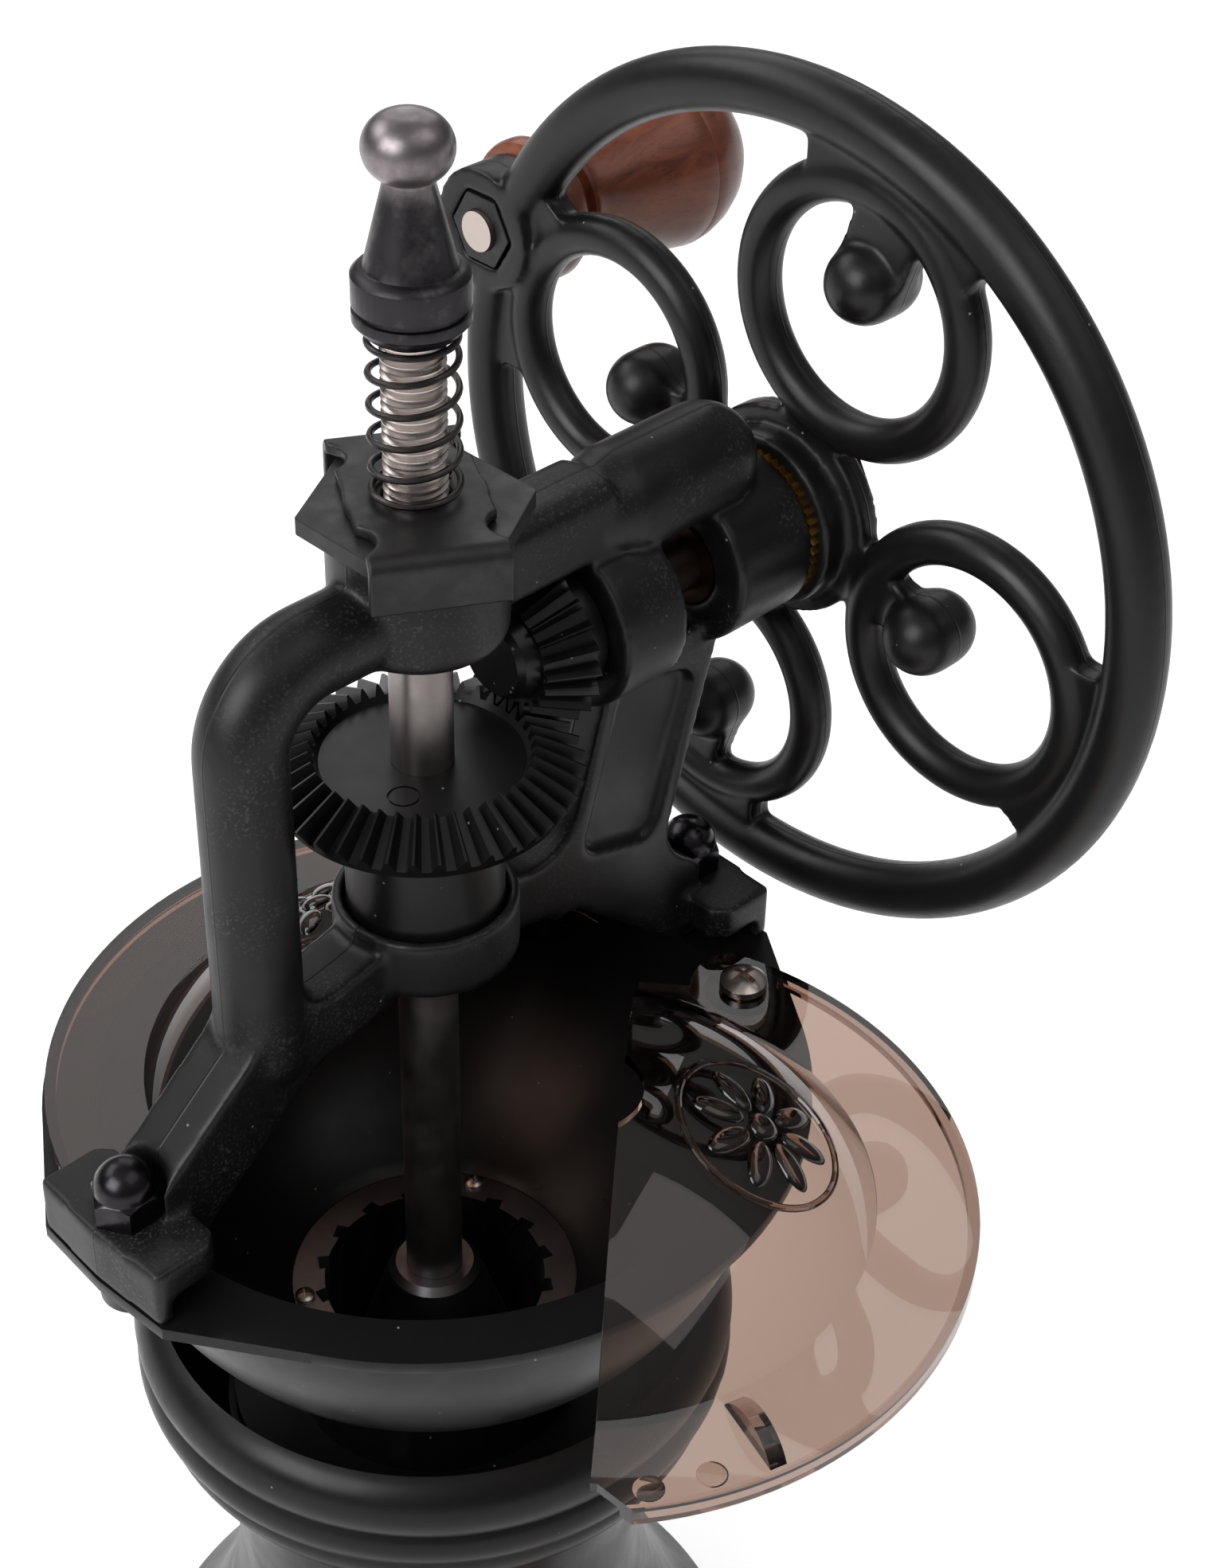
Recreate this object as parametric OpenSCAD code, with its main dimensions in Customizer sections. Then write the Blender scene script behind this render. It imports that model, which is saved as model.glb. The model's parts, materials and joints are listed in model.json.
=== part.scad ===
// Manual coffee grinder: round pedestal base with a drawer, hopper bowl, moulded yoke frame,
// scroll crank wheel, bevel drive, conical burrs and a spring-locked grind adjuster.
// Millimetres, +Z up. The origin is on the main shaft's axis at the table, +X points to the wheel.

/* [Base] */
// Height of the lip's inner edge above the table
base_h = 103.4; // [98:0.2:110]
// Height of the deck that carries the hopper
deck_z = 78; // [74:0.5:80]
// Thickness of the deck
deck_t = 6; // [4:0.5:7]
// Inner radius of the cup at the lip
cup_r = 39.5; // [38:0.5:41]
// Outer radius of the lip and of the bead below it
bead_out = 43.3; // [42:0.1:45]
// Section radius of the lip
lip_r = 6.4; // [5.5:0.1:7.5]
// Section radius of the two beads
bead_r = 4.8; // [4:0.1:6]
// Smallest radius of the bell, at its waist
waist_r = 31; // [29:0.5:33]
// Height of the waist
waist_z = 52; // [48:1:56]
// Radius of the bell's curve
bell_r = 80; // [74:1:88]
// Wall of the bell
bell_wall = 4; // [3:0.5:5]
// Thickness of the bottom plate
plate_t = 4.5; // [4:0.5:6]
// Thickness of the pad under the base
pad_h = 1.5; // [1:0.5:3]

/* [Drawer] */
// Outside width of the drawer's tray
tray_w = 38; // [32:1:40]
// Outside height of the tray
tray_h = 26; // [20:1:27]
// Wall of the tray
tray_wall = 2; // [1.5:0.5:3]
// Depth of the tray behind the shaft's axis
tray_back_y = 21; // [16:1:22]
// Plane behind the front, ahead of the shaft's axis
front_back_y = 24; // [22:0.5:26]
// Height of the drawer's front
front_h = 27.5; // [22:0.5:28]
// Diameter of the drawer's knob
drawer_knob_d = 14; // [12:1:16]

/* [Hopper] */
// Height of the flange's top above the deck
hopper_h = 62; // [58:1:66]
// Radius of the flange
flange_r = 52; // [50.5:0.5:54]
// Thickness of the flange
flange_t = 1.8; // [1.4:0.2:3]
// Inner radius of the spherical bowl
bowl_r = 45; // [43:0.5:46]
// Wall of the bowl
bowl_wall = 3; // [2.5:0.5:4]
// Outer radius of the neck that holds the burrs
neck_r = 21; // [20.5:0.5:22]
// Length of the neck below the deck's top
neck_drop = 4; // [2:0.5:6]

/* [Burrs] */
// Outer radius of the ring burr
ring_burr_r = 17.5; // [16.5:0.1:18]
// Smallest inner radius of the ring burr, at its foot
ring_burr_bore = 13.2; // [12.5:0.1:14]
// Height of the ring burr
ring_burr_h = 22; // [18:0.5:24]
// Gap between the burrs at the foot
grind_gap = 0.5; // [0.4:0.1:1]
// Number of slanted flutes on the cone burr
cone_flutes = 12; // [8:1:16]
// Number of flutes in the ring burr
ring_flutes = 16; // [12:1:20]

/* [Drive] */
// Height of the wheel's axle above the flange
axle_h = 62; // [58:0.5:66]
// Diameter of the main shaft
shaft_d = 8; // [7:0.5:9]
// Diameter of the wheel's axle
axle_d = 8; // [7:0.5:9]
// Depth of the flat on each shaft
flat_cut = 0.9; // [0.6:0.1:1.2]
// Tooth module at the outer end
tooth_module = 1; // [0.9:0.02:1.04]
// Teeth of the drive gear
gear_teeth = 40; // [36:2:42]
// Teeth of the pinion
pinion_teeth = 22; // [18:2:24]
// Face width along the cone
face_w = 7; // [5:0.5:8]
// Tooth thinning at the pitch circle
backlash = 0.45; // [0.3:0.05:0.6]
// Radius of the drive gear's hub
gear_hub_r = 10.3; // [8:0.1:11]

/* [Frame] */
// Half thickness of the yoke's flat members
web_half = 4.8; // [4:0.1:5]
// Distance of the left column from the shaft
column_x = 27.8; // [27:0.1:31]
// Radius of the round column
column_r = 5.7; // [5:0.1:6.2]
// Bend radius of the elbow on its centre line
elbow_r = 10.5; // [8:0.5:12]
// Height of the top arm above the axle
arm_rise = 14.8; // [14:0.1:18]
// Radius of the collar round the shaft
collar_r = 11; // [10:0.5:11.5]
// Height of the collar's foot above the axle
collar_gap = 9.8; // [9:0.1:12]
// Length of the collar
collar_len = 15.2; // [13:0.1:18]
// Radius of the lower ring boss
ring_boss_r = 12.2; // [11.5:0.1:13]
// Height of the lower ring boss's foot above the flange
ring_boss_z = 23.2; // [22.5:0.1:26]
// Height of the lower ring boss
ring_boss_h = 9; // [8:0.5:11]
// Radius of the two bearing bosses
bearing_r = 11.6; // [11:0.1:12.5]
// Start of the inner bearing boss along X
bearing_in_x = 24; // [23.5:0.5:27]
// Length of the inner bearing boss
bearing_in_len = 11; // [9:0.5:13]
// Start of the outer bearing boss along X
bearing_out_x = 45.4; // [43:0.2:48]
// Length of the outer bearing boss
bearing_out_len = 13.8; // [12:0.2:15]
// Outer radius of the sleeve bushes
bush_r = 6; // [5.5:0.1:7]
// Distance of the foot bolts from the shaft
foot_x = 50; // [49:0.5:52]
// Length of a foot block along X
foot_len = 11; // [10:0.5:14]
// Width of a foot block along Y
foot_w = 24; // [20:0.5:26]
// Height of a foot block
foot_h = 8.5; // [7:0.5:10]
// Foot bolt diameter
foot_bolt_d = 5; // [4:0.5:6]
// Width across flats of the cap nuts
cap_nut_af = 8; // [7:0.5:9]

/* [Wheel] */
// Distance of the wheel's middle plane from the shaft
wheel_x = 66.6; // [66:0.1:70]
// Radius of the rim's centre line
rim_r = 58.3; // [55:0.1:60]
// Radius of the rim's round section
rim_tube = 4.1; // [3.5:0.1:5]
// Distance of each scroll ring from the hub
scroll_at = 34.5; // [33:0.1:36]
// Centre line radius of a scroll ring
scroll_r = 17.4; // [16:0.1:18]
// Radius of a scroll ring's round section
scroll_tube = 3; // [2.5:0.1:3.5]
// Radius of the ball ends
ball_r = 5.4; // [4.5:0.1:6]
// Radius of the hub
hub_r = 12.5; // [11:0.5:14]
// Length of the hub
hub_len = 8; // [7.5:0.5:13]
// Turn of the scroll rings about the axle
scroll_turn = 17; // [0:1:45]
// Direction of the knob's lug in the wheel's plane
lug_turn = 21; // [10:1:30]
// Distance of the knob from the wheel's axle
lug_at = 61; // [59:0.5:64]
// Radius of the knob's lug
lug_r = 9; // [8:0.5:11]
// Thickness of the knob's lug
lug_t = 8; // [6:0.5:9]

/* [Crank knob] */
// Largest diameter of the wooden knob
knob_d = 27; // [24:1:30]
// Length of the knob
knob_len = 38.5; // [36:0.5:46]
// Diameter of the knob's flange
knob_flange_d = 21; // [17:1:22]
// Diameter of the knob's neck
knob_neck_d = 13; // [11:0.5:15]
// Diameter of the knob's bolt
knob_bolt_d = 6; // [5:0.5:7]

/* [Adjuster] */
// Width across flats of the hexagon plate
hex_af = 25; // [24:0.5:27]
// Thickness of the hexagon plate
hex_t = 2.2; // [1.5:0.1:3]
// Thickness of the lock clip's sheet
clip_t = 1.5; // [1:0.1:1.8]
// Width of the lock clip's folded tabs
clip_w = 16.6; // [14:0.2:17.4]
// Drop of the folded tabs below the clip's top
tab_drop = 7.2; // [6:0.1:8]
// Mean diameter of the spring
spring_d = 10.4; // [10:0.1:11.5]
// Wire of the spring
spring_wire = 0.8; // [0.6:0.1:1]
// Turns of the spring
spring_turns = 6; // [4:1:8]
// Set length of the spring
spring_len = 21; // [18:0.5:24]
// Diameter of the cap's ring
cap_ring_d = 13.6; // [12:0.1:15]
// Height of the cap's ring
cap_ring_h = 8; // [6:0.5:10]
// Height of the cap's cone
cap_cone_h = 9.4; // [8:0.2:12]
// Diameter of the cap's ball
cap_ball_d = 10.4; // [9:0.1:11]

/* [Covers] */
// Radius of a half cover
cover_r = 51.4; // [50:0.2:52]
// Radius of the dome's foot
dome_r = 38.3; // [36:0.1:40]
// Height of the dome's crown above the flange
dome_top = 21; // [18:0.5:22]
// Wall of the covers
cover_t = 1.4; // [1.2:0.1:2]
// Height of the cover's rim above the flange
cover_rim_h = 2.6; // [2:0.1:3.5]
// Distance of the straight edge from the shaft's plane
cover_edge = 5.2; // [5:0.1:7]
// Radius of the notch round the shaft
notch_r = 8; // [6.5:0.5:10]
// Distance of the pivot inside the cover's round edge, along X
pivot_inset = 10.4; // [9.4:0.1:10.9]
// Pivot's distance from the shaft along Y
pivot_y = 19.8; // [19.5:0.1:21]
// Swing of the open front cover
open_turn = 41; // [20:1:60]
// Diameter of the pivot screws
pivot_d = 3.5; // [3:0.5:4]

/* [Fits] */
// Radial clearance of a shaft in its bush
run_fit = 0.06; // [0.03:0.01:0.1]
// Gap between faces that slide past each other
slide_gap = 0.3; // [0.2:0.05:0.4]
// Gap between bodies that pass close by
pass_gap = 0.4; // [0.3:0.05:0.6]

/* [Hidden] */
$fn = 96;

eps = 0.01;
black = "#232224";
steel = "#b9b4ad";
dark_steel = "#3c3b3d";
brass = "#a57b34";
bronze = "#6b4a33";
wood = "#7a3d24";
smoke = [0.35, 0.24, 0.18, 0.55];

// Heights above the table
flange_z = deck_z + hopper_h;
plate_z = pad_h;
floor_z = plate_z + plate_t;

// Heights above the flange
ring_boss_top = ring_boss_z + ring_boss_h;
hub_sink = 2.4;
arm_z = axle_h + arm_rise;
collar_z = axle_h + collar_gap;
collar_top = collar_z + collar_len;
hex_z = collar_top + slide_gap;
clip_z = hex_z + hex_t + slide_gap / 3;
clip_top = clip_z + clip_t;
cap_z = clip_top + spring_len;
cone_z = cap_z + cap_ring_h;
neck_z = cone_z + cap_cone_h;
ball_z = neck_z + cap_ball_d * 0.42;
thread_top = cone_z + cap_cone_h / 2;
bowl_out = bowl_r + bowl_wall;
burr_lip = 2.5;
burr_lip_w = 3;
burr_seat_r = ring_burr_r + burr_lip_w;
bowl_foot = -sqrt(pow(bowl_r, 2) - pow(burr_seat_r, 2));
burr_top = bowl_foot;
burr_foot = burr_top - ring_burr_h;
neck_foot = -hopper_h - neck_drop;
burr_nut_h = 4.5;
shaft_foot = burr_foot - burr_nut_h - 1.5;
hopper_seat_r = 30;
hopper_seat_t = 3.5;

// Bevel pair, apex where the two axes cross
gear_r = tooth_module * gear_teeth / 2;
pinion_r = tooth_module * pinion_teeth / 2;
cone_len = sqrt(pow(gear_r, 2) + pow(pinion_r, 2));
taper = (cone_len - face_w) / cone_len;
pressure = 20;
addendum = tooth_module;
dedendum = 1.2 * tooth_module;
gear_rim = 1.6 * tooth_module;

// Along the wheel's axle
pinion_back = bearing_in_x - slide_gap;
pinion_nose = gear_r * taper - 2.2;
bearing_in_end = bearing_in_x + bearing_in_len;
bearing_out_end = bearing_out_x + bearing_out_len;
thrust_t = 1.2;
hub_x = bearing_out_end + slide_gap + thrust_t;
hub_end = hub_x + hub_len;
washer_t = 1.2;
nut_h = 6.5;
axle_end = hub_end + washer_t + nut_h + 1.5;
lug_x = wheel_x - lug_t / 2;
lug_end = wheel_x + lug_t / 2;
knob_x = lug_end + slide_gap;
lug_pos = [lug_at * cos(lug_turn), axle_h + lug_at * sin(lug_turn)];

// Covers
pivot = [cover_r - pivot_inset, pivot_y];
cover_z = slide_gap;
pivot_head_r = 3.3;
lug_round = 7.4;

// Drawer
tray_gap = slide_gap;
tray_z = floor_z + tray_gap;
front_w = tray_w + 4.2;
drawer_knob_z = floor_z + front_h / 2;
knob_seat_y = bell_at(drawer_knob_z + drawer_knob_d * 0.34);

// Radius of the bell's outside at a height above the table
function bell_at(z) = waist_r + bell_r - sqrt(pow(bell_r, 2) - pow(z - waist_z, 2));

// Shared shapes
module rounded_rect(w, h, r) {
    square([w, h - 2 * r], center = true);
    square([w - 2 * r, h], center = true);
    for (x = [-1, 1], y = [-1, 1])
        translate([x * (w / 2 - r), y * (h / 2 - r)]) circle(r);
}

// Turns a shape drawn along +Z so that it runs along +X at a height above the flange
module along_x(x, z) {
    translate([x, 0, z]) rotate([90, 0, 90]) children();
}

module on_flange() {
    translate([0, 0, flange_z]) children();
}

module ring_of(count, r, start = 0) {
    for (i = [0 : count - 1])
        rotate(start + i * 360 / count) translate([r, 0, 0]) children();
}

// Round rod with one flat on its +Y side between two heights
module flatted_rod(d, from, to, flat_from, flat_to) {
    difference() {
        translate([0, 0, from]) cylinder(h = to - from, d = d);
        translate([-d, d / 2 - flat_cut, flat_from]) cube([2 * d, d, flat_to - flat_from]);
    }
}

// Bore that fits a flatted rod
module flatted_bore(d, from, to, gap) {
    difference() {
        translate([0, 0, from]) cylinder(h = to - from, d = d + 2 * gap);
        translate([-d, d / 2 - flat_cut + gap, from - 1]) cube([2 * d, d, to - from + 2]);
    }
}

// Pan-head screw pointing down, its head's seat at the origin
module pan_screw(d, len, head_r, head_h) {
    translate([0, 0, -len]) cylinder(h = len + eps, d = d);
    difference() {
        intersection() {
            cylinder(h = head_h, r = head_r);
            translate([0, 0, head_h - 1.6 * head_r]) sphere(1.6 * head_r);
        }
        for (a = [0, 90])
            rotate(a) translate([-head_r * 0.6, -head_r * 0.11, head_h * 0.45])
                cube([head_r * 1.2, head_r * 0.22, head_h]);
    }
}

// Hexagon nut with its bore
module hex_nut(af, h, bore_d) {
    difference() {
        cylinder(h = h, d = af / cos(30), $fn = 6);
        translate([0, 0, -1]) cylinder(h = h + 2, d = bore_d);
    }
}

// Bevel gear teeth as one ring, swept along rays from the apex at the origin, axis along -Z
function involute(a) = tan(a) - a * PI / 180;
function tooth_half(r, pitch, base) =
    (PI * tooth_module / 2 - backlash) / (2 * pitch)
    + involute(pressure) - involute(acos(min(1, base / max(r, base))));
function tooth_radii(pitch, base) =
    [pitch - dedendum, max(base, pitch - 0.55 * dedendum), pitch, pitch + addendum];
function tooth_profile(pitch) =
    let (base = pitch * cos(pressure), radii = tooth_radii(pitch, base))
    concat([for (r = radii) [-tooth_half(r, pitch, base), r]],
        [for (i = [3 : -1 : 0]) [tooth_half(radii[i], pitch, base), radii[i]]]);
function on_back_cone(turn, height, r, across, cone_angle) =
    [(r + height * cos(cone_angle)) * cos(turn), (r + height * cos(cone_angle)) * sin(turn),
        -(across - height * sin(cone_angle))];
function bevel_loop(teeth, r, across, floor_height, turn0) =
    let (cone_angle = atan2(r, across), pitch = r / cos(cone_angle))
    [for (i = [0 : teeth - 1], p = tooth_profile(pitch))
        on_back_cone(turn0 + i * 360 / teeth + p.x * 180 / PI / cos(cone_angle),
            is_undef(floor_height) ? p.y - pitch : floor_height, r, across, cone_angle)];

module bevel_teeth(teeth, r, across, turn0) {
    outer = bevel_loop(teeth, r, across, undef, turn0);
    back = bevel_loop(teeth, r, across, -dedendum - gear_rim, turn0);
    count = len(outer);
    loops = [outer, outer * taper, back * taper, back];
    points = [for (loop = loops) each loop];
    faces = [for (k = [0 : 3], i = [0 : count - 1])
        let (a = k * count + i, b = k * count + (i + 1) % count,
            c = ((k + 1) % 4) * count + (i + 1) % count, d = ((k + 1) % 4) * count + i)
        each [[a, d, b], [b, d, c]]];
    polyhedron(points, faces);
}

// Base: lip and bead round the cup, deck and a hollow bell
lip_z = base_h - sqrt(pow(lip_r, 2) - pow(cup_r - bead_out + lip_r, 2));
bead_z = lip_z - 0.55 * (lip_r + bead_r);
low_bead_z = bead_z - 1.15 * bead_r;
low_bead_inset = 1.8;
post_r = 3.6;
post_at = 35;
post_top = floor_z + 10;
plate_rim = 2.8;
plate_r = bell_at(floor_z) - plate_rim;
plate_screw_d = 3;
head_sink = 2.2;

module bell_side(z_from, z_to) {
    difference() {
        translate([0, z_from]) square([bell_at(z_from), z_to - z_from]);
        translate([waist_r + bell_r, waist_z]) circle(bell_r, $fn = 240);
    }
}

module base_outline() {
    bell_side(pad_h, low_bead_z);
    translate([0, low_bead_z]) square([bead_out - lip_r, lip_z - low_bead_z]);
    translate([bead_out - bead_r - low_bead_inset, low_bead_z]) circle(bead_r);
    translate([bead_out - bead_r, bead_z]) circle(bead_r);
    translate([bead_out - lip_r, lip_z]) circle(lip_r);
}

module base_hollow() {
    under = deck_z - deck_t;
    polygon([[-1, floor_z], [bell_at(floor_z) - bell_wall - 2.5, floor_z],
        [bell_at(floor_z + 6) - bell_wall, floor_z + 6], [bell_at(24) - bell_wall, 24],
        [waist_r - bell_wall, waist_z - 12], [waist_r - bell_wall, under], [-1, under]]);
    polygon([[-1, deck_z], [hopper_seat_r + 1, deck_z], [cup_r, deck_z + 14], [cup_r, base_h + lip_r],
        [-1, base_h + lip_r]]);
    translate([-1, pad_h - 1]) square([plate_r + slide_gap / 2 + 1, floor_z - pad_h + 1 + eps]);
    translate([-base_h, -1]) square([base_h + eps, 2 * base_h]);
}

module base() {
    color(black) difference() {
        union() {
            rotate_extrude($fn = 160) difference() {
                base_outline();
                base_hollow();
            }
            ring_of(3, post_at, 90) translate([0, 0, floor_z]) cylinder(h = post_top - floor_z, r = post_r);
        }
        translate([0, 0, deck_z - deck_t - 1]) cylinder(h = deck_t + 2, r = neck_r + slide_gap);
        translate([-front_w / 2 - tray_gap, -3 * waist_r, floor_z])
            cube([front_w + 2 * tray_gap, 3 * waist_r - front_back_y + 4, front_h + 2 * tray_gap]);
        ring_of(3, hopper_screw_at, 90) translate([0, 0, deck_z - deck_t - 1])
            cylinder(h = deck_t + 2, d = hopper_screw_d + 0.4);
        ring_of(3, post_at, 90) cylinder(h = post_top - 2, d = plate_screw_d);
    }
}

module base_plate() {
    rail_w = 2;
    color(black) difference() {
        union() {
            translate([0, 0, plate_z]) cylinder(h = plate_t, r = plate_r);
            for (side = [0, 1]) mirror([side, 0, 0])
                translate([tray_w / 2 + pass_gap, -front_back_y + 4, floor_z - eps])
                    cube([rail_w, front_back_y + tray_back_y - 8, 6]);
        }
        ring_of(3, post_at, 90) {
            translate([0, 0, plate_z - 1]) cylinder(h = plate_t + 2, d = plate_screw_d + 0.4);
            translate([0, 0, plate_z - 1]) cylinder(h = head_sink + 1, r = 3.1);
        }
    }
}

module plate_screws() {
    color(steel) ring_of(3, post_at, 90)
        translate([0, 0, plate_z + head_sink]) mirror([0, 0, 1])
            pan_screw(plate_screw_d, plate_t - head_sink + 7, 2.9, head_sink - 0.2);
}

module base_pad() {
    color("#2b2a2a") cylinder(h = pad_h, r = plate_r + 2);
}

// Hopper: flange with lugs, spherical bowl and burr neck
hopper_screw_at = (neck_r + slide_gap + waist_r - bell_wall) / 2;
hopper_screw_d = 3;
hopper_head_r = 2.4;
foot_nose = 0.8;
lug_half = foot_w / 2;
lug_reach = foot_x + foot_len / 2;
bolt_boss_r = foot_bolt_d / 2 + 2;
boss_drop = 3.5;
pivot_boss_r = 4.6;

module foot_plan(half_w, reach, nose) {
    polygon([[foot_x - foot_len / 2, -half_w], [reach - nose, -half_w], [reach, 0],
        [reach - nose, half_w], [foot_x - foot_len / 2, half_w]]);
}

// Outline of a lug whose straight sides run into the round flange
module ear_plan() {
    corner = [lug_reach - foot_nose, lug_half];
    turn = atan2(corner.y, corner.x) + acos((flange_r - fill_dip) / norm(corner));
    side = (flange_r - fill_dip) * [cos(turn), sin(turn)];
    polygon([[lug_reach, 0], corner, side, [side.x, -side.y], [corner.x, -corner.y]]);
}

module hopper() {
    color(black) on_flange() difference() {
        union() {
            translate([0, 0, -flange_t]) cylinder(h = flange_t, r = flange_r);
            for (side = [0, 180]) rotate(side) {
                translate([0, 0, -flange_t]) linear_extrude(flange_t) ear_plan();
                translate([foot_x, 0, -flange_t - boss_drop])
                    cylinder(h = boss_drop + eps, r = bolt_boss_r);
            }
            bowl(bowl_out);
            translate([0, 0, neck_foot]) cylinder(h = bowl_foot - neck_foot - 1, r = neck_r);
            translate([0, 0, -hopper_h]) cylinder(h = hopper_seat_t, r = hopper_seat_r);
        }
        difference() {
            translate([0, 0, eps]) bowl(bowl_r);
            translate([0, 0, -bowl_out]) cylinder(h = bowl_out + bowl_foot - burr_lip, r = bowl_r);
            for (y = [-1, 1]) translate([pivot.x, y * pivot.y, -10]) cylinder(h = 20, r = pivot_boss_r);
        }
        translate([0, 0, burr_top - burr_lip]) cylinder(h = burr_lip + 5, r = burr_seat_r + slide_gap / 3);
        translate([0, 0, neck_foot - 1]) cylinder(h = hopper_h, r = ring_burr_r + slide_gap / 3);
        for (side = [0, 180]) rotate(side) translate([foot_x, 0, -flange_t - boss_drop - 1])
            cylinder(h = flange_t + boss_drop + 2, d = foot_bolt_d);
        for (y = [-1, 1]) translate([pivot.x, y * pivot.y, -8]) cylinder(h = 10, d = pivot_d);
        ring_of(3, hopper_screw_at, 90) translate([0, 0, -hopper_h - 1])
            cylinder(h = hopper_seat_t + 2, d = hopper_screw_d);
        ring_of(3, burr_screw_at, 30) translate([0, 0, burr_top - burr_lip - 5])
            cylinder(h = burr_lip + 8, d = burr_screw_d);
    }
}

// Lower half of a ball, the shape of the bowl
module bowl(r) {
    intersection() {
        sphere(r, $fn = 160);
        translate([0, 0, -r - 1]) cylinder(h = r + 1, r = r + 1);
    }
}

module hopper_screws() {
    color(steel) ring_of(3, hopper_screw_at, 90)
        translate([0, 0, deck_z - deck_t]) mirror([0, 0, 1])
            pan_screw(hopper_screw_d, deck_t + hopper_seat_t, hopper_head_r, 2);
}

// Burrs: fixed ring and turning cone, both with slanted flutes
burr_screw_at = ring_burr_r + burr_lip_w / 2;
burr_screw_d = 2;

module ring_burr() {
    color(dark_steel) on_flange() difference() {
        union() {
            translate([0, 0, burr_foot]) cylinder(h = ring_burr_h, r = ring_burr_r);
            translate([0, 0, burr_top - burr_lip]) cylinder(h = burr_lip, r = burr_seat_r);
        }
        translate([0, 0, burr_foot - eps])
            cylinder(h = ring_burr_h + 2 * eps, r1 = ring_burr_bore, r2 = ring_burr_r - 1.6);
        for (i = [0 : ring_flutes - 1]) rotate((i + 0.5) * 360 / ring_flutes)
            translate([ring_burr_bore + 1.2, 0, burr_foot + ring_burr_h / 2]) rotate([24, 6, 0])
                cube([1.6, 2.2, ring_burr_h * 1.4], center = true);
        ring_of(3, burr_screw_at, 30) translate([0, 0, burr_top - burr_lip - 1])
            cylinder(h = burr_lip + 2, d = burr_screw_d + 0.2);
    }
}

module burr_screws() {
    color(steel) on_flange() ring_of(3, burr_screw_at, 30)
        translate([0, 0, burr_top]) pan_screw(burr_screw_d, burr_lip + 3, burr_lip_w / 2 - 0.1, 1);
}

module cone_burr() {
    foot_r = ring_burr_bore - grind_gap;
    color(dark_steel) on_flange() difference() {
        translate([0, 0, burr_foot]) rotate_extrude()
            polygon([[shaft_d / 2 + 0.05, 0], [foot_r, 0], [foot_r, 3], [foot_r - 2.2, ring_burr_h * 0.55],
                [shaft_d / 2 + 2.6, ring_burr_h + 2], [shaft_d / 2 + 1.6, ring_burr_h + 3],
                [shaft_d / 2 + 0.05, ring_burr_h + 3]]);
        for (i = [0 : cone_flutes - 1]) rotate(i * 360 / cone_flutes)
            translate([foot_r - 1.2, 0, burr_foot + ring_burr_h * 0.58]) rotate([-28, -16, 0])
                cube([2.6, 2.6, ring_burr_h * 1.5], center = true);
    }
}

module burr_nut() {
    color(steel) on_flange() translate([0, 0, burr_foot - burr_nut_h]) hex_nut(13, burr_nut_h, shaft_d);
}

// Yoke frame: arch, ring boss, column, elbow, collar, arm with the bearings, pillar and feet
knee = [column_x, ring_boss_z - 1.4];
boss_at = [0, ring_boss_z + ring_boss_h / 2];
foot_at = [foot_x - 3, foot_h - 3];
crossbar_w = 9;
strut_w = 12;
fill_dip = 0.04;
head_r = 7.5;
head_z = arm_z - 0.3;
pillar_tilt = 16.2;
pillar_w = 20.8;
pillar_up = [sin(pillar_tilt), cos(pillar_tilt)];
pillar_top = axle_h - bush_r - 1.5;

function pillar_at(z) = [31.8 + (z - 28) * tan(pillar_tilt), z];
function left_of(v) = [-v.y, v.x];
function meet(p, u, q, v) = p + u * ((q - p).x * v.y - (q - p).y * v.x) / (u.x * v.y - u.y * v.x);

// Filled corner with a round of radius r between two edges that leave a point.
// The round dips a little into both edges, so that it crosses them instead of just touching.
module corner_fill(p, a, b, r) {
    half = acos(a * b) / 2;
    mid = unit(a + b);
    difference() {
        polygon([p - mid, p + a * r / tan(half), p + b * r / tan(half)]);
        translate(p + mid * r / sin(half)) circle(r + fill_dip);
    }
}

module flat_bar(p, q, w) {
    side = left_of(unit(q - p)) * w / 2;
    polygon([p + side, p - side, q - side, q + side]);
}

// Crossbar and strut from the ring boss down to one foot
module yoke_leg() {
    along = unit(knee - boss_at);
    down = unit(foot_at - knee);
    under = meet(boss_at - left_of(along) * crossbar_w / 2, along, knee - left_of(down) * strut_w / 2, down);
    flat_bar(boss_at, knee + along * 2, crossbar_w);
    flat_bar(knee - down * 2, foot_at + down * 4, strut_w);
    corner_fill(under, -along, down, 12);
}

// Pillar under the bearings with its filled corners
module pillar_plan() {
    along = unit(knee - boss_at);
    down = unit(foot_at - knee);
    low = pillar_at(knee.y - 4);
    left_foot = low - [pillar_w / 2, 0];
    right_foot = low + [pillar_w / 2, 0];
    rise = pillar_top - low.y;
    polygon([left_foot, left_foot + pillar_up * rise / pillar_up.y,
        right_foot + pillar_up * rise / pillar_up.y, right_foot]);
    corner_fill(meet(boss_at + left_of(along) * crossbar_w / 2, along, left_foot, pillar_up),
        -along, pillar_up, 8);
    corner_fill(meet(right_foot, pillar_up, knee + left_of(down) * strut_w / 2, down), pillar_up, down, 8);
}

// Filled corners where the round column meets the left leg
module column_plan() {
    along = unit(knee - boss_at);
    down = unit(foot_at - knee);
    corner_fill(meet(boss_at + left_of(along) * crossbar_w / 2, along, [knee.x - column_r / 2, 0], [0, 1]),
        [0, 1], -along, 5);
    corner_fill(
        meet([knee.x + column_r / 2, 0], [0, 1], knee + left_of(down) * strut_w / 2, down),
        [0, 1], down, 10);
}

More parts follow.
